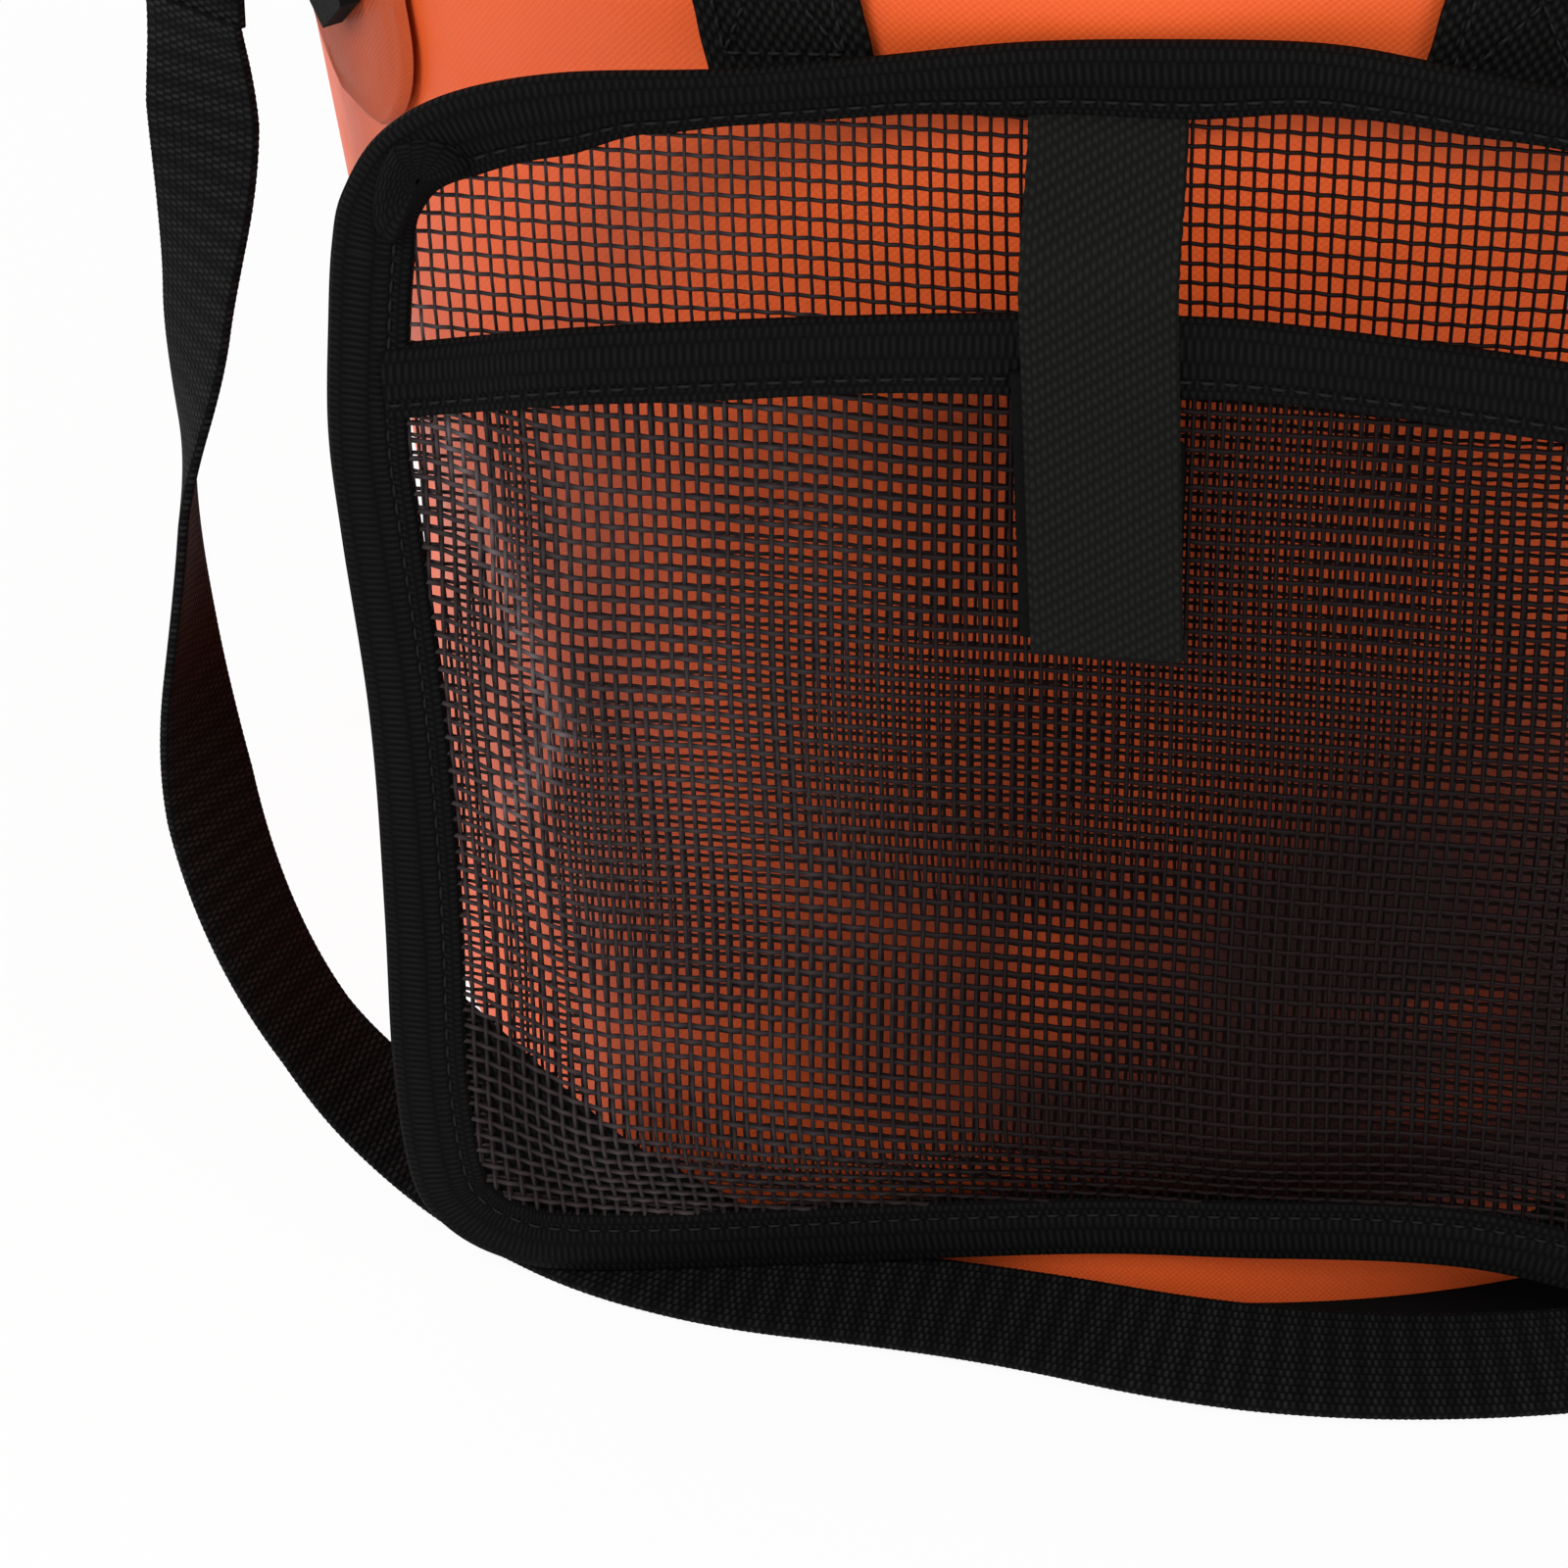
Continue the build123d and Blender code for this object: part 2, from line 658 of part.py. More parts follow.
def bulge(grow, top):
    """Solid bulge of the tool pocket, its skin moved outward by grow, cut off at a height."""
    with BuildPart(mode=Mode.PRIVATE) as solid:
        with BuildSketch(pocket_plane.offset(bulge_base)) as footprint:
            half = pocket_width / 2 - binding_width - seam_gap + grow
            low = up(pocket_bottom) + binding_width + seam_gap - grow
            with BuildLine():
                ThreePointArc((-half, low - pocket_bottom_droop), (0, low), (half, low - pocket_bottom_droop))
                Polyline(
                    (half, low - pocket_bottom_droop),
                    (half, up(rim_height)),
                    (-half, up(rim_height)),
                    (-half, low - pocket_bottom_droop),
                )
            make_face()
            fillet(footprint.vertices().group_by(Axis.Y)[0], radius=pocket_corner_bottom)
        extrude(amount=bulge_depth + grow, taper=bulge_draft)
        low = top - 4 * mouth_droop
        with BuildSketch(pocket_plane):
            with BuildLine():
                ThreePointArc((-pocket_width, low), (0, top), (pocket_width, low))
                Polyline(
                    (pocket_width, low), (pocket_width, up(rim_height)), (-pocket_width, up(rim_height)), (-pocket_width, low)
                )
            make_face()
        extrude(amount=3 * bulge_depth, mode=Mode.SUBTRACT)
    return solid.part


def bulge_skin(inner, outer, top):
    """Skin of the bulge between two distances from its outer face, open at the top."""
    with BuildPart(mode=Mode.PRIVATE) as skin:
        add(bulge(outer, top))
        add(bulge(inner, top + binding_width), mode=Mode.SUBTRACT)
    return skin.part


mouth_edge = up(mouth_height) - binding_thickness
with BuildPart() as pocket_front_panel:
    add(bulge_skin(-mesh_thickness, 0, mouth_edge - seam_gap))
save("pocket_front_panel", pocket_front_panel.part)

with BuildPart() as pocket_mouth_binding:
    add(bulge_skin(-mesh_thickness - binding_fold, binding_fold, up(mouth_height)))
    add(bulge_skin(-mesh_thickness - seam_gap, seam_gap, mouth_edge), mode=Mode.SUBTRACT)
    add(bulge(2 * binding_fold, up(mouth_height) - binding_width), mode=Mode.SUBTRACT)
save("pocket_mouth_binding", pocket_mouth_binding.part)

gusset_low = up(pocket_bottom) + binding_width - pocket_bottom_droop
gusset_side = pocket_width / 2 - binding_width
reach = 2 * binding_width
with BuildPart() as pocket_gusset_left:
    add(bulge_skin(seam_gap, seam_gap + gusset_thickness, up(pocket_top)))
    with BuildSketch(pocket_plane):
        with BuildLine():
            Polyline(
                (-gusset_side - reach, gusset_low - reach),
                (-gusset_side + gusset_width + reach, gusset_low - reach),
                (-gusset_side + gusset_width, gusset_low),
                (-gusset_side, gusset_low + gusset_height),
                (-gusset_side - reach, gusset_low + gusset_height + reach),
                close=True,
            )
        make_face()
    extrude(amount=4 * bulge_depth, mode=Mode.INTERSECT)
save("pocket_gusset_left", pocket_gusset_left.part)
save("pocket_gusset_right", pocket_gusset_left.part.mirror(Plane.YZ))

# ---- closure tab of the pocket with its hook and loop tapes ----
bulge_face = bulge_base + bulge_depth
loop_lay = bulge_face + seat_gap
hook_lay = loop_lay + fastener_thickness + seat_gap
closure_lay = hook_lay + fastener_thickness + seam_gap
closure_middle = closure_lay + closure_thickness / 2
hinge_v = up(pocket_top) - binding_width - seat_gap - closure_thickness / 2
hinge_d = mesh_lay + mesh_thickness + seat_gap + closure_thickness / 2
closure_end = hinge_v - closure_length
closure_plane = Plane(origin=pocket_plane.origin, x_dir=pocket_plane.z_dir, z_dir=-pocket_plane.x_dir)
with BuildPart() as closure_tab:
    with BuildSketch(closure_plane):
        with BuildLine():
            Polyline(
                (hinge_d, hinge_v), (closure_middle, up(mouth_height) + bulge_depth / 2), (closure_middle, closure_end)
            )
        trace(line_width=closure_thickness)
        with Locations((hinge_d, hinge_v)):
            Circle(closure_thickness / 2)
    extrude(amount=closure_width / 2, both=True)
save("closure_tab", closure_tab.part)

for name, lay in (("closure_loop_tape", loop_lay), ("closure_hook_tape", hook_lay)):
    with BuildPart() as tape:
        with BuildSketch(pocket_plane.offset(lay)):
            with Locations((0, closure_end + fastener_from_end + fastener_length / 2)):
                RectangleRounded(fastener_width, fastener_length, 1.0)
        extrude(amount=fastener_thickness)
    save(name, tape.part)
hinge = pocket_plane.from_local_coords(Vector(0, hinge_v, hinge_d))
print("closure hinge", tuple(round(c, 3) for c in hinge))
for side, azimuth in (("left", -ring_azimuth), ("right", ring_azimuth)):
    bar, bow, tangent, drop = ring_frame(azimuth)
    print(side, "ring bar", tuple(round(c, 3) for c in bar), "tangent", tuple(round(c, 4) for c in tangent))
print("handle hinge", round(foot_y, 3), round(foot_height, 3))
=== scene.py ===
"""Round tool bucket of orange coated cloth with a front mesh pocket, dressed over its CAD frame."""

import bpy
import json
import math
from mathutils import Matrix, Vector
from mathutils import noise


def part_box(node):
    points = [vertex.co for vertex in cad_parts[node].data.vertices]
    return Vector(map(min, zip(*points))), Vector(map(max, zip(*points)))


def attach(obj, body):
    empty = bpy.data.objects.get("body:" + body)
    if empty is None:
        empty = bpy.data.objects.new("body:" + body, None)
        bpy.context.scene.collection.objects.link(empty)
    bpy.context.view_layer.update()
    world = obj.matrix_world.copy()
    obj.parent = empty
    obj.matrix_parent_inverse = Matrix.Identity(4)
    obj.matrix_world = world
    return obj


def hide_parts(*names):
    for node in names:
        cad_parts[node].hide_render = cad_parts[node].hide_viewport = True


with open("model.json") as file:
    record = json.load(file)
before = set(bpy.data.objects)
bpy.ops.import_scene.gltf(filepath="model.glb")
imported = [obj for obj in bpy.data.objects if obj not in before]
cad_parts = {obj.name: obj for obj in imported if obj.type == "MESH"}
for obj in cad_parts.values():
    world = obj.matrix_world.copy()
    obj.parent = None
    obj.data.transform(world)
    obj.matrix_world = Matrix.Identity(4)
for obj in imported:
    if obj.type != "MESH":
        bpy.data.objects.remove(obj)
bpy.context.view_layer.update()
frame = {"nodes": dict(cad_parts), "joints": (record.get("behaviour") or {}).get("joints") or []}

# ---- sizes in millimetres, in the row frame ----
MM = 0.001
base_radius = 120.0
wall_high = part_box("bucket_wall")[1] / MM
wall_slope = (wall_high.x - base_radius) / wall_high.z
slope_length = math.hypot(1.0, wall_slope)
rim_height = (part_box("rim_hoop")[0].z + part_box("rim_hoop")[1].z) / 2 / MM
wall_thickness = 1.2
wall_mean_radius = 140.0
foot_bulge = 4.6
side_dent = 4.8
hem_stand = 1.2
hem_height = 24.0
bead_stand = 3.6

webbing_width = 25.0
webbing_thickness = 1.6
leg_azimuth = math.radians(17.5)
leg_splay = math.radians(10.2)
leg_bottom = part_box("front_right_leg")[0].z / MM + 8.0
leg_lay = 1.1
leg_bend_height = 246.0
right_leg_shift = math.radians(0.75)
leg_end_taper = (0.3, 0.8, 0.95)
fold_roll_radius = 0.8
fold_roll_places = (-12.3, -6.0, 0.0, 6.0, 12.3)
fold = next(joint for joint in frame["joints"] if joint["name"] == "front_handle_fold")
hinge = Vector(fold["pos_m"]) / MM
hinge.x = (base_radius + wall_slope * rim_height) * math.sin(leg_azimuth) + 14.0
handle_straight = 44.0

ring_azimuth = math.radians(55.0)
patch_half_width = 21.5
patch_low = 167.0
patch_high = 273.0
patch_stand = 0.25
patch_thickness = 0.95

strap_width = 20.0
strap_thickness = 1.6
strap_facing = math.radians(-35.0)
eye_bar_half = math.hypot(3.0, 3.5) / 2

mesh_pitch_u = 2.0
mesh_pitch_v = 2.95
thread_width = 0.50
weft_width = 0.68
weave_rise = 0.14
front_heavier = 1.34
mesh_columns = range(-60, 61)
mesh_rows = range(-5, 100)
outline_step = 1.3
left_corner_lift = 9.0
right_corner_lift = 5.0
gusset_reach = 44.0
gusset_rise = 51.0
gusset_fall = 39.5
binding_width = 10.0
binding_depth = 3.2
around_share = 2.3
mouth_width = 11.5
mouth_height = 182.6
mouth_sag = 12.6
seam_share = 0.77
closure_width = 20.5
closure_top = 206.0
closure_end = 131.0
closure_depth = 16.0
closure_thickness = 1.3


# ---- mesh helpers ----
def build(name, points, faces, material, corner_uvs=()):
    """Smooth object from points in millimetres; its Cloth map holds lengths along and across."""
    mesh = bpy.data.meshes.new(name)
    mesh.from_pydata([Vector(p) * MM for p in points], [], faces)
    if corner_uvs:
        layer = mesh.uv_layers.new(name="Cloth")
        for place, pair in zip(layer.data, corner_uvs):
            place.uv = pair
    mesh.materials.append(material)
    mesh.shade_smooth()
    obj = bpy.data.objects.new(name, mesh)
    bpy.context.scene.collection.objects.link(obj)
    return obj


def loft(name, rows, along, around, material, closed=False, caps=False):
    """Skin through rows of points, with its Cloth map taken from the two lists of lengths."""
    count = len(rows[0])
    faces = []
    uvs = []
    for i in range(len(rows) - 1):
        for j in range(count if closed else count - 1):
            k = (j + 1) % count
            faces.append((i * count + j, i * count + k, (i + 1) * count + k, (i + 1) * count + j))
            uvs += [(along[i], around[j]), (along[i], around[j + 1]),
                    (along[i + 1], around[j + 1]), (along[i + 1], around[j])]
    if caps:
        last = (len(rows) - 1) * count
        faces.append(tuple(reversed(range(count))))
        uvs += [(along[0], around[j]) for j in reversed(range(count))]
        faces.append(tuple(range(last, last + count)))
        uvs += [(along[-1], around[j]) for j in range(count)]
    return build(name, [p for row in rows for p in row], faces, material, uvs)


def smooth_step(x):
    """0 below 0, 1 above 1, and an even rise between."""
    x = min(max(x, 0.0), 1.0)
    return x * x * (3 - 2 * x)


def lengths(points):
    """Running length along a line of points."""
    out = [0.0]
    for a, b in zip(points, points[1:]):
        out.append(out[-1] + (b - a).length)
    return out


def tangent_at(points, i):
    """Direction of a line of points at one of them."""
    return (points[min(i + 1, len(points) - 1)] - points[max(i - 1, 0)]).normalized()


def resample(points, step):
    """The same line with evenly spaced points."""
    run = lengths(points)
    count = max(2, round(run[-1] / step))
    out = []
    spot = 0
    for i in range(count + 1):
        place = run[-1] * i / count
        while spot < len(points) - 2 and run[spot + 1] < place:
            spot += 1
        share = (place - run[spot]) / max(run[spot + 1] - run[spot], 1e-9)
        out.append(points[spot].lerp(points[spot + 1], min(share, 1.0)))
    return out


def curve_through(points, closed, pieces=12):
    """Smooth line through given points."""
    count = len(points)
    out = []
    for i in range(count if closed else count - 1):
        if closed:
            a, b, c, d = (points[(i + k) % count] for k in (-1, 0, 1, 2))
        else:
            a, b, c, d = (points[min(max(i + k, 0), count - 1)] for k in (-1, 0, 1, 2))
        for step in range(pieces):
            t = step / pieces
            out.append(0.5 * (2 * b + (c - a) * t + (2 * a - 5 * b + 4 * c - d) * t * t
                              + (3 * b - a - 3 * c + d) * t * t * t))
    if not closed:
        out.append(points[-1].copy())
    return out


def tape_profile(width, thickness, columns=8):
    """Closed outline of flat webbing with round selvages, as (across, out) pairs."""
    half = width / 2 - thickness / 2
    face = [-half + 2 * half * i / columns for i in range(columns + 1)]
    turn = [math.radians(a) for a in (60, 30, 0, -30, -60)]
    rise = thickness / 2
    right = [(half + rise * math.cos(a), rise * math.sin(a)) for a in turn]
    left = [(-x, -y) for x, y in right]
    return [(x, rise) for x in face] + right + [(-x, -rise) for x in face] + left


def tape(name, stations, width, thickness, material, rib=1.3, body="root"):
    """Webbing through (centre, across, out) stations; its selvages are notched by the weft."""
    profile = tape_profile(width, thickness)
    centres = [s[0] for s in stations]
    along = lengths(centres)
    around = [0.0]
    for a, b in zip(profile, profile[1:] + profile[:1]):
        around.append(around[-1] + math.dist(a, b))
    rows = []
    for (centre, across, out), place in zip(stations, along):
        notch = 0.07 * math.sin(2 * math.pi * place / rib)
        rows.append([centre + across * (x + notch * (1 if x > 0 else -1) * (abs(x) > width * 0.47))
                     + out * y for x, y in profile])
    obj = loft(name, rows, along, around, material, closed=True, caps=True)
    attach(obj, body)
    return obj


def stitches(name, lines, pitch, width):
    """Rows of lockstitch: each line is a list of (point, out) on the cloth."""
    lift = 0.25
    stitch_shape = ((0.0, 0.35, 0.0), (0.25, 1.0, lift), (0.75, 1.0, lift), (1.0, 0.35, 0.0))
    points = []
    faces = []
    for line in lines:
        centres = [p for p, _ in line]
        run = lengths(centres)
        count = max(1, round(run[-1] / pitch))
        spot = 0
        for i in range(count):
            ends = []
            for share in (0.14, 0.86):
                place = run[-1] * (i + share) / count
                while spot < len(centres) - 2 and run[spot + 1] < place:
                    spot += 1
                t = (place - run[spot]) / max(run[spot + 1] - run[spot], 1e-9)
                ends.append((centres[spot].lerp(centres[spot + 1], t),
                             line[spot][1].lerp(line[spot + 1][1], t)))
            (a, out_a), (b, out_b) = ends
            side = (b - a).cross(out_a).normalized()
            first = len(points)
            for share, size, rise in stitch_shape:
                out = out_a.lerp(out_b, share).normalized()
                centre = a.lerp(b, share) + out * rise
                radius = width / 2 * size
                points += [centre + side * radius, centre + out * radius,
                           centre - side * radius, centre - out * radius]
            for ring in range(3):
                for j in range(4):
                    k = (j + 1) % 4
                    faces.append((first + ring * 4 + j, first + ring * 4 + k,
                                  first + ring * 4 + 4 + k, first + ring * 4 + 4 + j))
            faces.append((first + 3, first + 2, first + 1, first))
            faces.append((first + 12, first + 13, first + 14, first + 15))
    obj = build(name, points, faces, thread)
    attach(obj, "root")


# ---- materials: everything is worked out in the material, from the Cloth map, object space and a mesh's Shade attribute of painted shade and painted highlight ----
def grey(level):
    """Neutral colour."""
    return (level, level, level)


class Nodes:
    """Shorthand for one material's node tree."""

    def __init__(self, name, colour, roughness, gloss=0.5, metallic=0.0):
        self.material = bpy.data.materials.new(name)
        self.material.use_nodes = True
        self.tree = self.material.node_tree
        self.shader = self.tree.nodes["Principled BSDF"]
        self.shader.inputs["Base Color"].default_value = (*colour, 1.0)
        self.shader.inputs["Roughness"].default_value = roughness
        self.shader.inputs["Metallic"].default_value = metallic
        self.shader.inputs["Specular IOR Level"].default_value = gloss

    def new(self, kind, **properties):
        """New node with some of its properties set."""
        node = self.tree.nodes.new("ShaderNode" + kind)
        for key, value in properties.items():
            setattr(node, key, value)
        return node

    def put(self, socket, value):
        """Link or set an input."""
        if isinstance(value, bpy.types.NodeSocket):
            self.tree.links.new(value, socket)
        else:
            socket.default_value = value

    def math(self, operation, a, b=0.0, c=0.0):
        node = self.new("Math", operation=operation)
        for socket, value in zip(node.inputs, (a, b, c)):
            self.put(socket, value)
        return node.outputs[0]

    def wave(self, value, pitch):
        """Sine of a value, once round in every pitch."""
        return self.math("SINE", self.math("MULTIPLY", value, 2 * math.pi / pitch))

    def cloth(self):
        """Millimetres along and across the cloth."""
        split = self.new("SeparateXYZ")
        self.put(split.inputs[0], self.new("UVMap", uv_map="Cloth").outputs["UV"])
        return split.outputs[0], split.outputs[1]

    def attribute(self, name):
        """Number stored on the mesh under a name."""
        return self.new("Attribute", attribute_name=name).outputs["Fac"]

    def noise(self, size, detail=3.0):
        """Even noise in object space whose blots are about size millimetres."""
        scale = self.new("VectorMath", operation="SCALE")
        scale.inputs["Scale"].default_value = 1 / MM
        self.put(scale.inputs[0], self.new("TexCoord").outputs["Object"])
        node = self.new("TexNoise")
        node.inputs["Scale"].default_value = 1 / size
        node.inputs["Detail"].default_value = detail
        self.put(node.inputs["Vector"], scale.outputs[0])
        return node.outputs["Fac"]

    def fade(self, value, low, high, shape="SMOOTHSTEP"):
        """Rise from 0 at low to 1 at high."""
        node = self.new("MapRange", interpolation_type=shape)
        node.inputs["From Min"].default_value = low
        node.inputs["From Max"].default_value = high
        self.put(node.inputs["Value"], value)
        return node.outputs["Result"]

    def ramp(self, value, *stops):
        """Colour along stops of (place, colour)."""
        node = self.new("ValToRGB")
        while len(node.color_ramp.elements) < len(stops):
            node.color_ramp.elements.new(0.5)
        for element, (place, colour) in zip(node.color_ramp.elements, stops):
            element.position = place
            element.color = (*colour, 1.0)
        self.put(node.inputs["Fac"], value)
        return node.outputs["Color"]

    def mix(self, share, a, b, blend="MIX"):
        """Colour between a and b, or a tinted with b."""
        node = self.new("Mix", data_type="RGBA", blend_type=blend)
        self.put(node.inputs["Factor"], share)
        for socket, value in ((node.inputs["A"], a), (node.inputs["B"], b)):
            self.put(socket, value if isinstance(value, bpy.types.NodeSocket) else (*value, 1.0))
        return node.outputs["Result"]

    def between(self, value, low, high):
        """A 0 to 1 value stretched to run from low to high."""
        return self.math("MULTIPLY_ADD", value, high - low, low)

    def surface(self, colour, roughness, height, depth):
        """Colour and roughness of the surface, raised by up to depth millimetres."""
        self.put(self.shader.inputs["Base Color"], colour)
        self.put(self.shader.inputs["Roughness"], roughness)
        node = self.new("Bump")
        node.inputs["Strength"].default_value = 1.0
        node.inputs["Distance"].default_value = depth * MM
        self.put(node.inputs["Height"], height)
        self.put(self.shader.inputs["Normal"], node.outputs["Normal"])
        return self.material


def weave_height(nodes, along, across, length, width, slant=0.0):
    """Staggered rounded floats of a weave: 0 between the yarns, 1 on their crowns."""
    row = nodes.math("FLOOR", nodes.math("DIVIDE", across, width))
    shifted = nodes.math("MULTIPLY_ADD", row, 0.5 + slant, nodes.math("DIVIDE", along, length))
    crest = nodes.math("MULTIPLY_ADD", nodes.wave(shifted, 1.0), 0.5, 0.5)
    ridge = nodes.math("ABSOLUTE", nodes.wave(across, 2 * width))
    return nodes.math("MULTIPLY", crest, nodes.math("POWER", ridge, 0.6))


def woven(name, pit, crown, length, width, slant=0.0, depth=0.35, band=0.0):
    """Black polyester cloth with a visible weave; band is the pitch of its paler bands."""
    nodes = Nodes(name, crown, 0.75, gloss=0.06)
    along, across = nodes.cloth()
    height = weave_height(nodes, along, across, length, width, slant)
    fuzz = nodes.noise(0.5, 2.0)
    wear = nodes.noise(35.0, 2.0)
    # crowns take the crown colour; the pits between the yarns take the pit colour, painted shade in the weave
    lit = nodes.math("MULTIPLY", height, nodes.between(wear, 0.55, 1.25))
    if band:
        lit = nodes.math("MULTIPLY", lit, nodes.math("MULTIPLY_ADD", nodes.wave(along, band), 0.42, 0.85))
    return nodes.surface(nodes.mix(lit, pit, crown), nodes.between(fuzz, 0.65, 0.91),
                         nodes.math("MULTIPLY_ADD", fuzz, 0.18, height), depth)


def make_tarpaulin(name, lit, deep, gloss):
    """Coated cloth with its scrim faint under a satin skin, darker where its Shade attribute says so."""
    nodes = Nodes(name, lit, 0.42, gloss=gloss)
    along, across = nodes.cloth()
    scrim_pitch = 1.05
    crossing = nodes.math("MULTIPLY", nodes.wave(along, scrim_pitch), nodes.wave(across, scrim_pitch))
    scrim = nodes.math("MULTIPLY_ADD", crossing, 0.5, 0.5)
    blots = nodes.noise(60.0, 2.0)
    grain = nodes.noise(1.4, 3.0)
    scuffs = nodes.noise(9.0, 6.0)
    # the Shade attribute mixes painted shade into the colour: dark red-brown where the pocket shades the wall
    colour = nodes.mix(nodes.attribute("Shade"), nodes.mix(blots, lit, deep), (0.030, 0.0085, 0.0075))
    grime = nodes.ramp(scuffs, (0.0, grey(0.86)), (0.35, grey(1.0)))
    return nodes.surface(nodes.mix(1.0, colour, grime, "MULTIPLY"), nodes.between(scuffs, 0.34, 0.56),
                         nodes.math("MULTIPLY_ADD", grain, 0.35, scrim), 0.05)


def make_spaced(name, colour, dark, roughness, size, depth, gloss=0.5, metallic=0.0):
    """Moulded or metal surface: fine grain, blotches and wear in object space."""
    nodes = Nodes(name, colour, roughness, gloss, metallic)
    fine = nodes.noise(size, 4.0)
    broad = nodes.noise(size * 14, 3.0)
    return nodes.surface(nodes.mix(broad, dark, colour),
                         nodes.between(fine, roughness * 0.75, min(roughness * 1.35, 1.0)), fine, depth)


def make_mesh_cord():
    """Coated mesh thread, paler with a painted highlight where its Shade attribute marks a crease's shine."""
    nodes = Nodes("black_mesh", (0.0080, 0.0035, 0.0035), 0.5, gloss=0.08)
    grain = nodes.noise(0.5, 3.0)
    dark = nodes.mix(grain, (0.0050, 0.0022, 0.0022), (0.0090, 0.0040, 0.0040))
    return nodes.surface(nodes.mix(nodes.attribute("Shade"), dark, (0.34, 0.27, 0.28)),
                         nodes.between(grain, 0.42, 0.6), grain, 0.04)


orange = make_tarpaulin("orange_tarpaulin", (0.86, 0.132, 0.030), (0.82, 0.100, 0.017), 0.25)
patch_orange = make_tarpaulin("orange_patch", (0.56, 0.090, 0.026), (0.46, 0.068, 0.019), 0.08)
webbing = woven("black_webbing", (0.0010, 0.0011, 0.0010), (0.0120, 0.0124, 0.0114), 2.2, 0.92)
strap_cloth = woven("black_strap", (0.0012, 0.0012, 0.0013), (0.0170, 0.0170, 0.0168), 1.05, 1.45,
                    depth=0.4, band=4.15)
twill = woven("black_twill", (0.0045, 0.0047, 0.0042), (0.0135, 0.0140, 0.0122), 1.9, 0.85,
              slant=-0.17, depth=0.25)
binding_cloth = woven("black_binding", (0.0010, 0.0010, 0.0010), (0.0075, 0.0076, 0.0075), 1.1, 2.4,
                      depth=0.3)
gusset_cloth = woven("black_gusset", (0.0020, 0.0017, 0.0017), (0.0130, 0.0115, 0.0115), 1.6, 1.4,
                     depth=0.2)
mesh_cord = make_mesh_cord()
thread = make_spaced("black_thread", grey(0.012), grey(0.006), 0.6, 0.4, 0.03, gloss=0.1)
steel = make_spaced("plated_steel", (0.62, 0.62, 0.60), grey(0.50), 0.26, 0.8, 0.01, metallic=1.0)
grip_rubber = make_spaced("black_grip", grey(0.012), grey(0.008), 0.6, 0.9, 0.12, gloss=0.25)
tab_cloth = make_spaced("black_tab_cloth", grey(0.010), grey(0.003), 0.7, 0.45, 0.2, gloss=0.08)
board_plastic = make_spaced("black_board", grey(0.012), grey(0.008), 0.5, 1.2, 0.1, gloss=0.3)
fastener_pile = make_spaced("black_fastener_tape", grey(0.006), grey(0.002), 0.9, 0.35, 0.5, gloss=0.05)
rod = make_spaced("hoop_rod", grey(0.05), grey(0.03), 0.4, 1.0, 0.02)


def dress(node, material):
    """Give a CAD node its finish."""
    slots = frame["nodes"][node].data.materials
    slots.clear()
    slots.append(material)


# ---- bucket wall ----
def wall_radius(height):
    """Outer radius of the bare wall."""
    return base_radius + wall_slope * height


def wall_frame(azimuth):
    """Foot point, direction round the bucket, up the slope and out, on the wall's line at an azimuth."""
    out = Vector((math.sin(azimuth), -math.cos(azimuth), 0.0))
    around = Vector((math.cos(azimuth), math.sin(azimuth), 0.0))
    face = Vector((out.x, out.y, -wall_slope)).normalized()
    slope_up = Vector((out.x * wall_slope, out.y * wall_slope, 1.0)).normalized()
    return out * base_radius, around, slope_up, face


def on_wall(azimuth, height, stand):
    """Point at a stand-off from the wall."""
    reach = wall_radius(height) + stand
    return Vector((reach * math.sin(azimuth), -reach * math.cos(azimuth), height))


def wall_give(azimuth, height):
    """How far the soft wall stands out: it bulges at the foot of each side and falls in above."""
    low = noise.noise(Vector((math.sin(azimuth) * 2.1, math.cos(azimuth) * 2.1, height / 95.0)))
    fine = noise.noise(Vector((math.sin(azimuth) * 6.0, math.cos(azimuth) * 6.0, height / 40.0 + 7.0)))
    free = math.sin(math.pi * min(max(height / 290.0, 0.0), 1.0))
    side = abs(math.remainder(azimuth, 2 * math.pi)) - math.radians(64.0)
    foot = foot_bulge * math.exp(-((height - 4.0) / 32.0) ** 2 - (side / 0.55) ** 2)
    dent = side_dent * math.exp(-((height - 88.0) / 28.0) ** 2 - ((side - 0.05) / 0.24) ** 2)
    return foot - dent - free * (0.9 + 0.9 * low + 0.35 * fine)


# painted shade where the pocket shades the wall behind its mesh: azimuth, height, both half widths, depth of
# the shade; a negative depth paints a lighter streak into it
pocket_shade = (
    (24.0, 66.0, 18.0, 42.0, 0.95),
    (42.0, 48.0, 11.0, 76.0, 0.8),
    (-3.0, 52.0, 20.0, 34.0, 0.62),
    (-47.0, 85.0, 17.0, 55.0, 0.36),
    (2.0, 28.0, 11.0, 14.0, 0.5),
    (-6.0, 92.0, 5.0, 20.0, 0.3),
    (30.0, 116.0, 18.0, 14.0, 0.15),
    (-4.3, 60.0, 2.6, 13.0, -0.45),
    (17.0, 55.0, 9.0, 3.5, -0.3),
    (25.0, 23.0, 12.0, 9.0, 0.75),
)
wall_rows = []
wall_along = []
steps_up = 74
steps_round = 240
wall_turns = [2 * math.pi * j / steps_round for j in range(steps_round)]
wall_top = wall_high.z
for depth, steps in ((0.0, range(steps_up + 1)), (wall_thickness, range(steps_up, -1, -1))):
    for step in steps:
        height = wall_top * step / steps_up
        wall_rows.append([on_wall(turn, height, wall_give(turn, height) - depth) for turn in wall_turns])
        wall_along.append((2 * wall_top - height if depth else height) * slope_length)
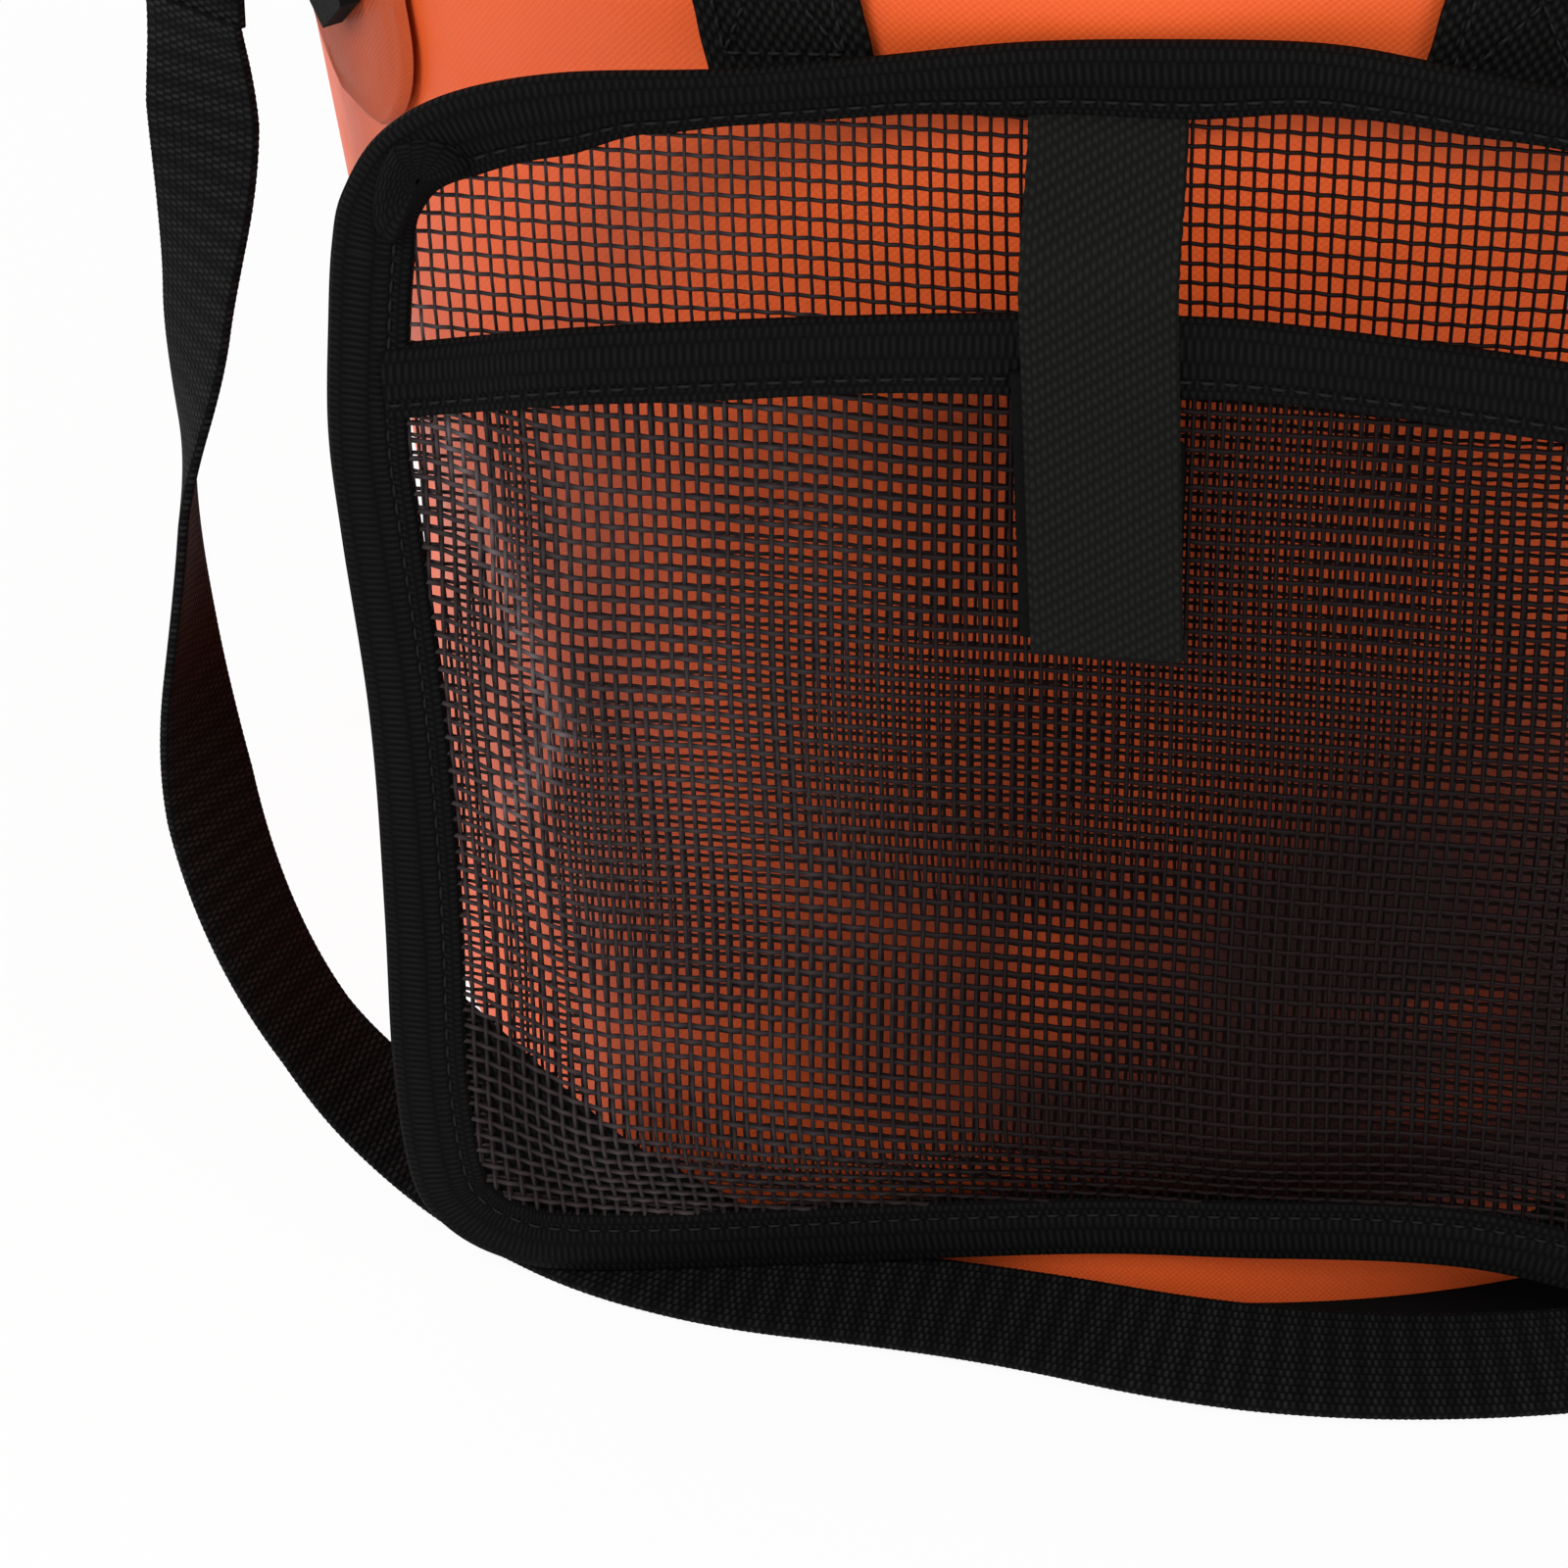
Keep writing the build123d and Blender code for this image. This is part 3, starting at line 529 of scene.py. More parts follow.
wall_rows.append(wall_rows[0])
wall_along.append(wall_along[-1] + wall_thickness)
wall_around = [2 * math.pi * wall_mean_radius * j / steps_round for j in range(steps_round + 1)]
wall = loft("wall_cloth", wall_rows, wall_along, wall_around, orange, closed=True)
# Shade holds the painted shade from the pocket_shade table
shade = wall.data.attributes.new("Shade", "FLOAT", "POINT")
for spot, vertex in zip(shade.data, wall.data.vertices):
    azimuth = math.degrees(math.atan2(vertex.co.x, -vertex.co.y))
    height = vertex.co.z / MM
    dark = sum(depth * math.exp(-((azimuth - middle) / wide) ** 4 - ((height - level) / tall) ** 4)
               for middle, level, wide, tall, depth in pocket_shade)
    spot.value = min(max(dark, 0.0), 1.0)
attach(wall, "root")
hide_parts("bucket_wall")


def patch_skin(name, azimuth):
    """Cloth welded on the wall: a slot shape wrapped round the cone, with pressed lines near its edge."""
    steps = 60
    columns = 24
    heights = [patch_low + (patch_high - patch_low) * i / steps for i in range(steps + 1)]
    grid = []
    for height in heights:
        end = min(height - patch_low, patch_high - height, patch_half_width)
        reach = math.sqrt(max(patch_half_width ** 2 - (patch_half_width - end) ** 2, 0.4 ** 2))
        line = []
        for j in range(columns + 1):
            x = reach * (2 * j / columns - 1)
            inset = min(end, reach - abs(x), 8.0)
            press = 0.35 * math.exp(-((inset - 3.4) / 0.55) ** 2)
            press += 0.2 * math.exp(-((inset - 6.2) / 0.5) ** 2)
            edge = patch_thickness * (1 - smooth_step(inset / 0.8))
            turn = x / (wall_radius(height) + patch_stand)
            line.append(on_wall(azimuth + turn, height, patch_stand + patch_thickness - press - edge))
        grid.append(line)
    across = [2 * patch_half_width * j / columns for j in range(columns + 1)]
    obj = loft(name, grid, [height * slope_length for height in heights], across, patch_orange)
    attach(obj, "root")
    return obj


for side, sign in (("left", -1), ("right", 1)):
    patch = patch_skin(f"weld_patch_{side}", sign * ring_azimuth)
    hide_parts(f"ring_patch_{side}")

for node in ("base_disc", "rim_hem", "back_seam"):
    dress(node, orange)
dress("base_board", board_plastic)
dress("rim_hoop", rod)


# ---- handles: legs sewn on the wall and loops above the rim ----
def leg_stations(turn_x, turn_y):
    """Stations of one leg, up the wall and over the hem's bead to the fold line."""
    rise = math.tan(leg_splay)
    start = leg_azimuth + (right_leg_shift if turn_x > 0 and turn_y > 0 else 0.0)
    crown = wall_radius(rim_height + 2.0) + leg_lay + bead_stand
    swing = start + rise * (rim_height + 2.0 - leg_bottom) / crown - math.asin(hinge.x / crown)
    hem_bottom = rim_height - hem_height
    # heights and stand-offs: flat on the wall, up onto the hem, then over the hem's bead
    rests = ((leg_bottom, leg_lay), (hem_bottom - 10.0, leg_lay), (hem_bottom - 1.0, leg_lay + hem_stand),
             (rim_height - 7.0, leg_lay + hem_stand + 0.5), (rim_height - 2.0, leg_lay + bead_stand),
             (rim_height + 2.0, leg_lay + bead_stand))
    places = []
    for (low, stand_low), (high, stand_high) in zip(rests, rests[1:]):
        steps = max(2, round((high - low) / 1.1))
        for step in range(steps):
            share = step / steps
            height = low + (high - low) * share
            stand = stand_low + (stand_high - stand_low) * smooth_step(share)
            reach = wall_radius(height) + stand
            azimuth = start + rise * (height - leg_bottom) / reach
            azimuth -= swing * smooth_step((height - leg_bend_height) / (rim_height + 2.0 - leg_bend_height))
            places.append((Vector((reach * math.sin(azimuth), -reach * math.cos(azimuth), height)), azimuth))
    last, azimuth = places[-1]
    top = Vector((hinge.x, hinge.y, hinge.z - webbing_thickness / 2 - 0.10))
    for step in range(1, 9):
        share = step / 8
        places.append((last.lerp(top, share), azimuth * (1 - smooth_step(share))))
    stations = []
    centres = [centre for centre, _ in places]
    for i, (centre, facing) in enumerate(places):
        tangent = tangent_at(centres, i)
        across = Vector((math.cos(facing), math.sin(facing), 0.0))
        across = (across - tangent * across.dot(tangent)).normalized()
        left = len(places) - 1 - i
        across = across.lerp(Vector((1.0, 0.0, 0.0)), smooth_step(1 - left / 12))
        out = across.cross(tangent).normalized()
        if left < len(leg_end_taper):
            square = 1 - left / len(leg_end_taper)
            out = out.lerp(Vector((0.0, -1.0, 0.0)), square) * leg_end_taper[left]
        flip = Vector((turn_x, turn_y, 1.0))
        stations.append((centre * flip, across * flip, out * flip))
    return stations


arch_radius = hinge.x / math.cos(leg_splay) + handle_straight * math.tan(leg_splay)
arch_height = hinge.z + handle_straight * math.cos(leg_splay) + arch_radius * math.sin(leg_splay)


def loop_stations(turn_y):
    """Stations of a whole loop: quarter twists up from both hinges to the arch."""
    lean = Vector((math.sin(leg_splay), 0.0, math.cos(leg_splay)))
    flat = Vector((math.cos(leg_splay), 0.0, -math.sin(leg_splay)))
    deep = Vector((0.0, 1.0, 0.0))
    half = []
    steps = 40
    for step in range(steps):
        share = step / steps
        twist = math.radians(90 * smooth_step(share))
        across = flat * math.cos(twist) + deep * math.sin(twist)
        half.append((hinge + lean * (handle_straight * share), across))
    arch_steps = 100
    for step in range(1, arch_steps + 1):
        angle = (math.pi / 2 + leg_splay) * step / arch_steps - leg_splay
        centre = Vector((arch_radius * math.cos(angle), hinge.y, arch_height + arch_radius * math.sin(angle)))
        half.append((centre, deep))
    mirror = Vector((-1.0, 1.0, 1.0))
    places = half + [(centre * mirror, across * mirror) for centre, across in reversed(half[:-1])]
    centres = [centre for centre, _ in places]
    flip = Vector((1.0, turn_y, 1.0))
    stations = []
    before = flat
    for i, (centre, across) in enumerate(places):
        tangent = tangent_at(centres, i)
        if across.dot(before) < 0:
            across = -across
        before = across
        level = (across - tangent * across.dot(tangent)).normalized()
        sewn = smooth_step(1 - min(i, len(places) - 1 - i) / 14)
        level = level.lerp(Vector((math.copysign(1.0, level.x), 0.0, 0.0)), sewn)
        stations.append((centre * flip, level * flip, level.cross(tangent).normalized() * flip))
    return stations


def box_stitch(stations, low, high, half):
    """Stitch lines of a sewn box with a cross in it on the outer face of a leg."""
    run = lengths([s[0] for s in stations])

    def spot(along, x):
        centre, across, out = stations[min(range(len(run)), key=lambda i: abs(run[i] - along))]
        return centre + across * x + out * (webbing_thickness / 2 - 0.05), out

    share = [k / 12 for k in range(13)]
    lines = [[spot(low + (high - low) * k, x) for k in share] for x in (-half, half)]
    lines += [[spot(level, half * (2 * k - 1)) for k in share] for level in (low, high)]
    lines += [[spot(low + (high - low) * k, way * half * (2 * k - 1)) for k in share] for way in (-1, 1)]
    return lines


def fold_roll(name, turn_x, turn_y):
    """Small sewn roll along the fold line between a leg and its loop."""
    angles = [math.radians(30 * k) for k in range(12)]
    ring = [(turn_y * (hinge.y + fold_roll_radius * math.cos(a)), hinge.z + fold_roll_radius * math.sin(a))
            for a in angles]
    rows = [[Vector((turn_x * (hinge.x + x), y, z)) for y, z in ring] for x in fold_roll_places]
    along = [x + webbing_width / 2 for x in fold_roll_places]
    return loft(name, rows, along, [0.42 * k for k in range(13)], webbing, closed=True, caps=True)


for end, turn_y in (("front", 1.0), ("back", -1.0)):
    for side, turn_x in (("left", -1.0), ("right", 1.0)):
        stations = leg_stations(turn_x, turn_y)
        stitches(f"{end}_{side}_leg_box", box_stitch(stations, 4.0, 31.0, 9.0), 2.8, 0.55)
        roll = fold_roll(f"{end}_{side}_fold", turn_x, turn_y)
        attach(roll, f"{end}_handle")
        leg = tape(f"{end}_{side}_leg_webbing", stations, webbing_width, webbing_thickness, webbing)
        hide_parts(f"{end}_{side}_leg")
    loop = tape(f"{end}_handle_webbing", loop_stations(turn_y), webbing_width, webbing_thickness, webbing,
                body=f"{end}_handle")
    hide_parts(f"{end}_handle")
    dress(f"{end}_grip", grip_rubber)

# ---- strap hardware ----
for side in ("left", "right"):
    for node in ("d_ring", "hook_body", "hook_gate", "swivel_eye"):
        dress(f"{node}_{side}", steel)
    dress(f"ring_tab_{side}", tab_cloth)

# ---- shoulder strap: the route's points are the control points of one smooth curve, in metres ----
strap_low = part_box("strap_end_left")[0].z - 0.0003
route = [
    (-0.13753, -0.09630, strap_low),
    (-0.1361, -0.0973, 0.172),
    (-0.1389, -0.0991, 0.142),
    (-0.142, -0.101, 0.112),
    (-0.1428, -0.101, 0.062),
    (-0.1278, -0.103, 0.022),
    (-0.098, -0.1125, 0.0032),
    (-0.066, -0.1298, 0.0020),
    (-0.021, -0.1308, 0.0032),
    (0.024, -0.1400, 0.0046),
    (0.066, -0.1320, 0.0034),
    (0.101, -0.1155, 0.0032),
    (0.129, -0.104, 0.022),
    (0.141, -0.101, 0.062),
    (0.142, -0.101, 0.112),
    (0.1402, -0.0991, 0.142),
    (0.1385, -0.0973, 0.172),
    (0.13753, -0.09630, strap_low),
]
strap_across = [
    (math.cos(strap_facing), math.sin(strap_facing), 0),
    (0.918, -0.395, 0),
    (0.66, -0.751, 0),
    (0.20, -0.98, 0),
    (-0.38, -0.925, -0.1),
    (-0.27, -0.963, 0),
    (-0.64, -0.75, -0.15),
    (-0.26, -0.96, -0.08),
    (-0.06, -0.98, -0.14),
    (0.05, -0.965, -0.24),
    (0.26, -0.94, -0.20),
    (0.62, -0.75, -0.12),
    (0.68, -0.62, -0.40),
    (0.80, -0.55, -0.1),
    (1.0, -0.1, 0),
    (0.96, 0.25, 0),
    (0.90, 0.43, 0),
    (math.cos(strap_facing), -math.sin(strap_facing), 0),
]
strap_curve = bpy.data.curves.new("strap_route", "CURVE")
strap_curve.dimensions = "3D"
strap_curve.resolution_u = 40
spline = strap_curve.splines.new("NURBS")
spline.points.add(len(route) - 1)
for point, place in zip(spline.points, route):
    point.co = (*place, 1.0)
spline.order_u = 3
spline.use_endpoint_u = True
guide = bpy.data.objects.new("strap_route", strap_curve)
bpy.context.scene.collection.objects.link(guide)
guide_mesh = bpy.data.meshes.new_from_object(guide)
strap_line = resample([v.co / MM for v in guide_mesh.vertices], 0.4)
bpy.data.objects.remove(guide)
keys = []
for place in route:
    target = Vector(place) / MM
    keys.append(min(range(len(strap_line)), key=lambda i: (strap_line[i] - target).length))
keys[0] = 0
keys[-1] = len(strap_line) - 1
strap_stations = []
for i, centre in enumerate(strap_line):
    spot = max(k for k in range(len(keys) - 1) if keys[k] <= i)
    share = (i - keys[spot]) / (keys[spot + 1] - keys[spot])
    wide = Vector(strap_across[spot]).lerp(Vector(strap_across[spot + 1]), (smooth_step(share) + share) / 2)
    tangent = tangent_at(strap_line, i)
    level = (wide - tangent * wide.dot(tangent)).normalized()
    level = level.lerp(wide.normalized(), smooth_step(1 - min(i, len(strap_line) - 1 - i) / 20))
    strap_stations.append((centre, level, tangent.cross(level).normalized()))
strap = tape("strap_webbing", strap_stations, strap_width, strap_thickness, strap_cloth, rib=1.0)
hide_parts("shoulder_strap")

# ---- strap ends: the webbing goes up round the swivel eye's bar and is sewn back on itself ----
for side, sign in (("left", -1), ("right", 1)):
    end_low, end_high = (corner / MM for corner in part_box(f"strap_end_{side}"))
    foot = Vector(route[0]) / MM if sign < 0 else Vector(route[-1]) / MM
    wide = Vector(strap_across[0] if sign < 0 else strap_across[-1])
    face = wide.cross(Vector((0.0, 0.0, 1.0)))
    turn = eye_bar_half + 0.3 + strap_thickness / 2
    bar = end_high.z - turn - strap_thickness / 2
    lay = strap_thickness / 2 + 0.03
    side_path = [(-lay, end_low.z - 0.7 + share * (bar - 9.3 - end_low.z))
                 for share in (0.0, 0.33, 0.66, 1.0)]
    side_path += [(turn * math.cos(a), bar + turn * math.sin(a)) for a in
                  (math.radians(190.0 - 200.0 * k / 16) for k in range(17))]
    side_path += [(lay, bar - 10.0), (lay, bar - 15.0), (lay, end_low.z + 4.5)]
    side_path = [foot + face * a + Vector((0.0, 0.0, b - foot.z)) for a, b in side_path]
    loop_line = resample(curve_through(side_path, False), 0.5)
    stations = [(centre, wide, tangent_at(loop_line, i).cross(wide).normalized())
                for i, centre in enumerate(loop_line)]
    strap_end = tape(f"strap_loop_{side}", stations, strap_width, strap_thickness, strap_cloth, rib=1.0)
    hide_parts(f"strap_end_{side}")
    seams = []
    for level in (end_low.z + 6.0, bar - 11.0):
        for face_side in (-1, 1):
            out = face * face_side
            middle = foot + out * (lay + strap_thickness / 2 - 0.05) + Vector((0.0, 0.0, level - foot.z))
            seams.append([(middle + wide * x, out) for x in (-8.5, -4.0, 0.0, 4.0, 8.5)])
    stitches(f"strap_seams_{side}", seams, 2.6, 0.5)

# ---- pocket: plane that touches the wall's front line; u runs right, v up the slope, d outward ----
pocket_foot, pocket_right, pocket_up, pocket_out = wall_frame(0.0)
pocket_foot = pocket_foot + pocket_out * 0.3


def pocket_lift(u, v):
    """How far the loose lower corners stand off the wall, most at the left, where the strap runs behind."""
    left = smooth_step((-u - 25.0) / 75.0) * smooth_step((95.0 - v) / 95.0)
    right = smooth_step((u - 25.0) / 75.0) * smooth_step((80.0 - v) / 80.0)
    return left_corner_lift * left + right_corner_lift * right


def pocket_point(u, v, d):
    """Point of the pocket; the corner's stand-off also lifts it, as it swings about its top."""
    lift = pocket_lift(u, v)
    return (pocket_foot + pocket_right * (u + 0.15 * lift) + pocket_up * (v + 0.75 * lift)
            + pocket_out * (d + lift))


# the pocket's outline: over the top from the left, down the right side, back along the bottom and up the left
outline_points = (
    (-105.8, 178.0), (-103.8, 186.0), (-98.4, 194.7), (-89.0, 201.2), (-74.0, 205.4), (-52.0, 207.6),
    (-33.0, 210.8), (-14.0, 214.2), (6.0, 216.0), (24.0, 216.7), (38.0, 215.0), (56.0, 212.0), (76.0, 208.0),
    (91.0, 202.0), (100.0, 194.0), (105.0, 184.0), (107.5, 160.0), (107.0, 130.0), (106.5, 90.0),
    (106.5, 50.0), (106.0, 26.0), (103.5, 16.0), (97.0, 9.5), (86.0, 9.0), (54.0, 15.0), (19.0, 12.4),
    (-4.0, 10.2), (-45.0, 3.2), (-80.0, -1.6), (-93.0, 0.2), (-101.2, 6.2), (-105.0, 15.0), (-106.5, 36.0),
    (-106.3, 64.0), (-106.3, 100.0), (-108.0, 130.0), (-108.6, 148.0), (-107.2, 166.0),
)
outline = curve_through([Vector(p) for p in outline_points], closed=True)
outline = resample(outline + outline[:1], outline_step)[:-1]


def inward(line, i):
    """Direction into the pocket, square to its outline."""
    step = line[(i + 2) % len(line)] - line[i - 2]
    return Vector((step.y, -step.x)).normalized()


def along_table(table, x):
    """Value between given (x, value) pairs."""
    for (a, low), (b, high) in zip(table, table[1:]):
        if x <= b:
            return low + (high - low) * smooth_step((x - a) / (b - a))
    return table[-1][1]


top_widths = ((-100, 10.5), (-90, 11.6), (-76, 11.4), (-63, 8.8), (-52, 7.9), (-33, 8.2), (-14, 9.8),
              (7, 10.9), (27, 9.4), (40, 8.6), (56, 7.6), (80, 9.0), (100, 10.5))


def edge_width(i):
    """The binding's width changes along the edge: pulled narrow in places on top, wide down the sides."""
    place = outline[i]
    wide = along_table(top_widths, place.x) * smooth_step((place.y - 178.0) / 10.0)
    wide += 11.2 * (1 - smooth_step((place.y - 178.0) / 10.0))
    return wide + 0.8 * noise.noise(Vector((i / 38.0, 3.1, 0.0)))


# sections across the folded tapes, plump in the middle and pinched along the seam
edge_shape = ((0.0, 0.30), (0.0, 0.70), (0.06, 0.93), (0.2, 1.03), (0.45, 1.05), (0.68, 0.98), (0.76, 0.86),
              (0.84, 0.95), (0.95, 0.90), (1.0, 0.72), (1.0, 0.30), (0.95, 0.10), (0.5, 0.0), (0.06, 0.07))
mouth_shape = ((0.0, 0.25), (0.0, 0.7), (0.08, 1.0), (0.3, 1.12), (0.6, 1.08), (0.76, 0.86), (0.86, 0.98),
               (0.97, 0.9), (1.0, 0.6), (1.0, 0.2), (0.9, 0.0), (0.4, -0.08), (0.08, 0.0))


def binding_rows():
    """Rows of the tape folded over the pocket's edge."""
    rows = []
    for i, place in enumerate(outline):
        into = inward(outline, i) * edge_width(i)
        rows.append([pocket_point(place.x + into.x * a, place.y + into.y * a, binding_depth * b)
                     for a, b in edge_shape])
    return rows


edge_rows = binding_rows()
edge_rows.append(edge_rows[0])
edge_along = [outline_step * i for i in range(len(edge_rows))]
edge_around = [binding_width * around_share * j / len(edge_shape) for j in range(len(edge_shape) + 1)]
edge_binding = loft("edge_binding", edge_rows, edge_along, edge_around, binding_cloth, closed=True)
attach(edge_binding, "root")
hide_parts("pocket_edge_binding")

# the top's tape ends in a folded corner that laps over the side's tape
fold_at = Vector((-92.5, 190.5))
fold_points = ((-3.5, 4.0), (2.5, 5.0), (6.5, 1.5), (1.8, -1.5), (-1.5, -6.5), (-4.5, -11.0), (-7.0, -8.0),
               (-6.0, -1.0), (-3.5, 4.0))
fold_outline = resample(curve_through([fold_at + Vector(p) for p in fold_points], False), 0.7)
fold_rows = []
for share, rise in ((1.0, 1.8), (1.0, 3.6), (0.93, 4.6), (0.7, 5.3), (0.35, 5.5), (0.05, 5.5)):
    fold_rows.append([pocket_point(*(fold_at + (p - fold_at) * share), rise) for p in fold_outline])
fold_corner = loft("binding_corner", fold_rows, [0.0, 1.8, 3.0, 5.5, 9.0, 12.0],
                   lengths(fold_outline) + [0.0], binding_cloth)
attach(fold_corner, "root")

seam_line = []
for i in list(range(len(outline))) + [0]:
    spot = outline[i] + inward(outline, i) * edge_width(i) * seam_share
    seam_line.append((pocket_point(spot.x, spot.y, binding_depth * 0.88), pocket_out))
stitches("edge_stitches", [seam_line], 3.0, 0.5)


def spans(line, axis, value):
    """Stretches inside a closed line along u = value (axis 0) or v = value (axis 1)."""
    hits = []
    for a, b in zip(line, line[1:] + line[:1]):
        if (a[axis] - value) * (b[axis] - value) < 0:
            share = (value - a[axis]) / (b[axis] - a[axis])
            hits.append(a[1 - axis] + (b[1 - axis] - a[1 - axis]) * share)
    hits.sort()
    return [pair for pair in zip(hits[::2], hits[1::2]) if pair[1] - pair[0] > 3.0]


bottoms = [spans(outline, 0, u + 0.01) for u in range(-110, 111)]
bottoms = [ends[0][0] if ends else 12.0 for ends in bottoms]


def bottom_edge(u):
    """Height of the pocket's lower edge."""
    place = min(max(u + 110.0, 0.0), 219.0)
    step = int(place)
    return bottoms[step] + (bottoms[step + 1] - bottoms[step]) * (place - step)


def front_depth(u, v):
    """Distance of the front mesh from the pocket's back: held in at its edges, bagging between them."""
    side = 96.5 - abs(u)
    low = v - bottom_edge(u) - binding_width
    full = (smooth_step(side / 26.0) * smooth_step(low / 26.0)) ** 0.8
    folds = 1.9 * noise.noise(Vector((u / 42.0, v / 70.0, 5.0)))
    folds += 0.5 * noise.noise(Vector((u / 17.0, v / 60.0, 9.0)))
    return 1.9 + full * (9.6 + folds)


def mouth_line(u):
    """Height of the mouth's upper edge: the nearer it is sewn to the wall, the lower it hangs."""
    line = mouth_height - mouth_sag * (abs(u - 14.0) / 110.0) ** 1.5
    return line - 0.66 * (12.5 - front_depth(u, line - mouth_width))


mouth_us = [-100.0 + 200.0 * i / 150 for i in range(151)]
mouth_rows = []
mouth_seam = []
for u in mouth_us:
    top = mouth_line(u)
    middle = front_depth(u, top - mouth_width / 2)
    wide = mouth_width + 0.8 * noise.noise(Vector((u / 30.0, 1.7, 0.0)))
    mouth_rows.append([pocket_point(u, top - wide * a, middle - 1.1 + 2.9 * b) for a, b in mouth_shape])
    mouth_seam.append((pocket_point(u, top - mouth_width * 0.76, middle + 1.5), pocket_out))
mouth_along = lengths([row[0] for row in mouth_rows])
mouth_around = [mouth_width * around_share * j / len(mouth_shape) for j in range(len(mouth_shape) + 1)]
mouth = loft("mouth_binding", mouth_rows, mouth_along, mouth_around, binding_cloth, closed=True, caps=True)
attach(mouth, "root")
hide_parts("pocket_mouth_binding")
stitches("mouth_stitches", [mouth_seam], 3.0, 0.5)


glint_line = [Vector(p) for p in
              ((-97.0, 168.0), (-91.0, 150.0), (-84.0, 128.0), (-77.0, 106.0), (-86.0, 88.0))]


def crease_glint(u, v):
    """Painted highlight on the coated threads: along a crease near the left edge, and faintly over the left
    third.
    """
    place = Vector((u, v))
    near = math.inf
    for a, b in zip(glint_line, glint_line[1:]):
        share = min(max((place - a).dot(b - a) / (b - a).length_squared, 0.0), 1.0)
        near = min(near, (place - (a + (b - a) * share)).length)
    highlight_haze = smooth_step((-u - 8.0) / 55.0) * (0.75 + 0.5 * noise.noise(Vector((u / 16.0, v / 30.0, 2.0))))
    return min(0.3 * math.exp(-(near / 2.6) ** 2) + 0.13 * highlight_haze, 1.0)


def mesh_cloth(name, edge, depth, seed, slot_node, heavier=1.0):
    """Open mesh: round threads passing over and under each other within an edge line."""
    points = []
    faces = []
    glints = []

    def waved(u, v):
        du = 1.1 * noise.noise(Vector((u / 60.0, v / 45.0, seed)))
        dv = 1.6 * noise.noise(Vector((u / 45.0, v / 70.0, seed + 4.0)))
        return u + du, v + dv

    def lay(places):
        first = len(points)
        for u, v, over, side in places:
            x, y = waved(u, v)
            d = depth(u, v) + over
            radius = (thread_width if side else weft_width) / 2 * heavier
            # painted highlight of the crease: full on the over-crossings, a fifth on the under-crossings
            glints.extend([crease_glint(x, y) * (1.0 if over > 0 else 0.2)] * 4)
            if side:
                ring = ((x - radius, y, d), (x, y, d + radius), (x + radius, y, d), (x, y, d - radius))
            else:
                ring = ((x, y - radius, d), (x, y, d - radius), (x, y + radius, d), (x, y, d + radius))
            points.extend(pocket_point(*p) for p in ring)
        for i in range(len(places) - 1):
            for j in range(4):
                k = (j + 1) % 4
                ring = first + 4 * i
                faces.append((ring + j, ring + 4 + j, ring + 4 + k, ring + k))
        faces.append((first, first + 1, first + 2, first + 3))
        last = first + 4 * (len(places) - 1)
        faces.append((last + 3, last + 2, last + 1, last))

    for i in mesh_columns:
        u = i * mesh_pitch_u
        for ends in spans(edge, 0, u):
            rows = [j for j in mesh_rows if ends[0] < j * mesh_pitch_v < ends[1]]
            lay([(u, ends[0], 0.0, True)]
                + [(u, j * mesh_pitch_v, weave_rise * (1 if (i + j) % 2 else -1), True) for j in rows]
                + [(u, ends[1], 0.0, True)])
    for j in mesh_rows:
        v = j * mesh_pitch_v
        for ends in spans(edge, 1, v):
            columns = [i for i in mesh_columns if ends[0] < i * mesh_pitch_u < ends[1]]
            lay([(ends[0], v, 0.0, False)]
                + [(i * mesh_pitch_u, v, weave_rise * (-1 if (i + j) % 2 else 1), False) for i in columns]
                + [(ends[1], v, 0.0, False)])
    obj = build(name, points, faces, mesh_cord)
    # on the mesh, the Shade attribute holds the painted highlight from crease_glint
    shine = obj.data.attributes.new("Shade", "FLOAT", "POINT")
    shine.data.foreach_set("value", glints)
    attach(obj, "root")
    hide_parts(slot_node)
    return obj


inner_edge = [p + inward(outline, i) * 3.0 for i, p in enumerate(outline)]
back_mesh = mesh_cloth("back_mesh", inner_edge, lambda u, v: 1.5, 2.0, "pocket_back_panel")
back_mesh.visible_shadow = False
front_edge = [Vector((p.x, min(p.y, mouth_line(p.x) - 2.5))) for p in inner_edge]
front_mesh = mesh_cloth("front_mesh", front_edge, front_depth, 11.0, "pocket_front_panel", front_heavier)

# ---- corner gussets: fine black mesh folded over the lower corners ----
for side, sign in (("left", -1), ("right", 1)):
    corner_v = 2.0 if sign < 0 else 10.0
    shares = [i / 26 for i in range(27)]
    grid = []
    for share in shares:
        u = sign * (100.0 - gusset_reach * share)
        edge_v = corner_v + gusset_rise - gusset_fall * share
        edge_v += 0.7 * (front_depth(u, edge_v + 2.0) - 2.0)
        low_v = min(bottom_edge(u) + 5.0, edge_v - 1.0)
        heights = [low_v + (edge_v - low_v) * part for part in shares]
        grid.append([pocket_point(u, v, front_depth(u, v) - 0.85) for v in heights])
    gusset = loft(f"corner_cloth_{side}", grid, [42.0 * share for share in shares],
                  [40.0 * share for share in shares], gusset_cloth)
    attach(gusset, "root")
    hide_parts(f"pocket_gusset_{side}")

# ---- closure tab: twill tape from under the top binding down over the mouth ----
tab_path = []
for i in range(121):
    share = i / 120
    v = closure_top + (closure_end - closure_top) * share
    out = smooth_step((closure_top - 1.5 - v) / 19.0)
    sway = 0.4 * noise.noise(Vector((v / 22.0, 0.0, 4.0))) * out
    tab_path.append(Vector((-3.0 + 2.7 * share, v, 1.9 + (closure_depth - 1.9) * out + sway)))


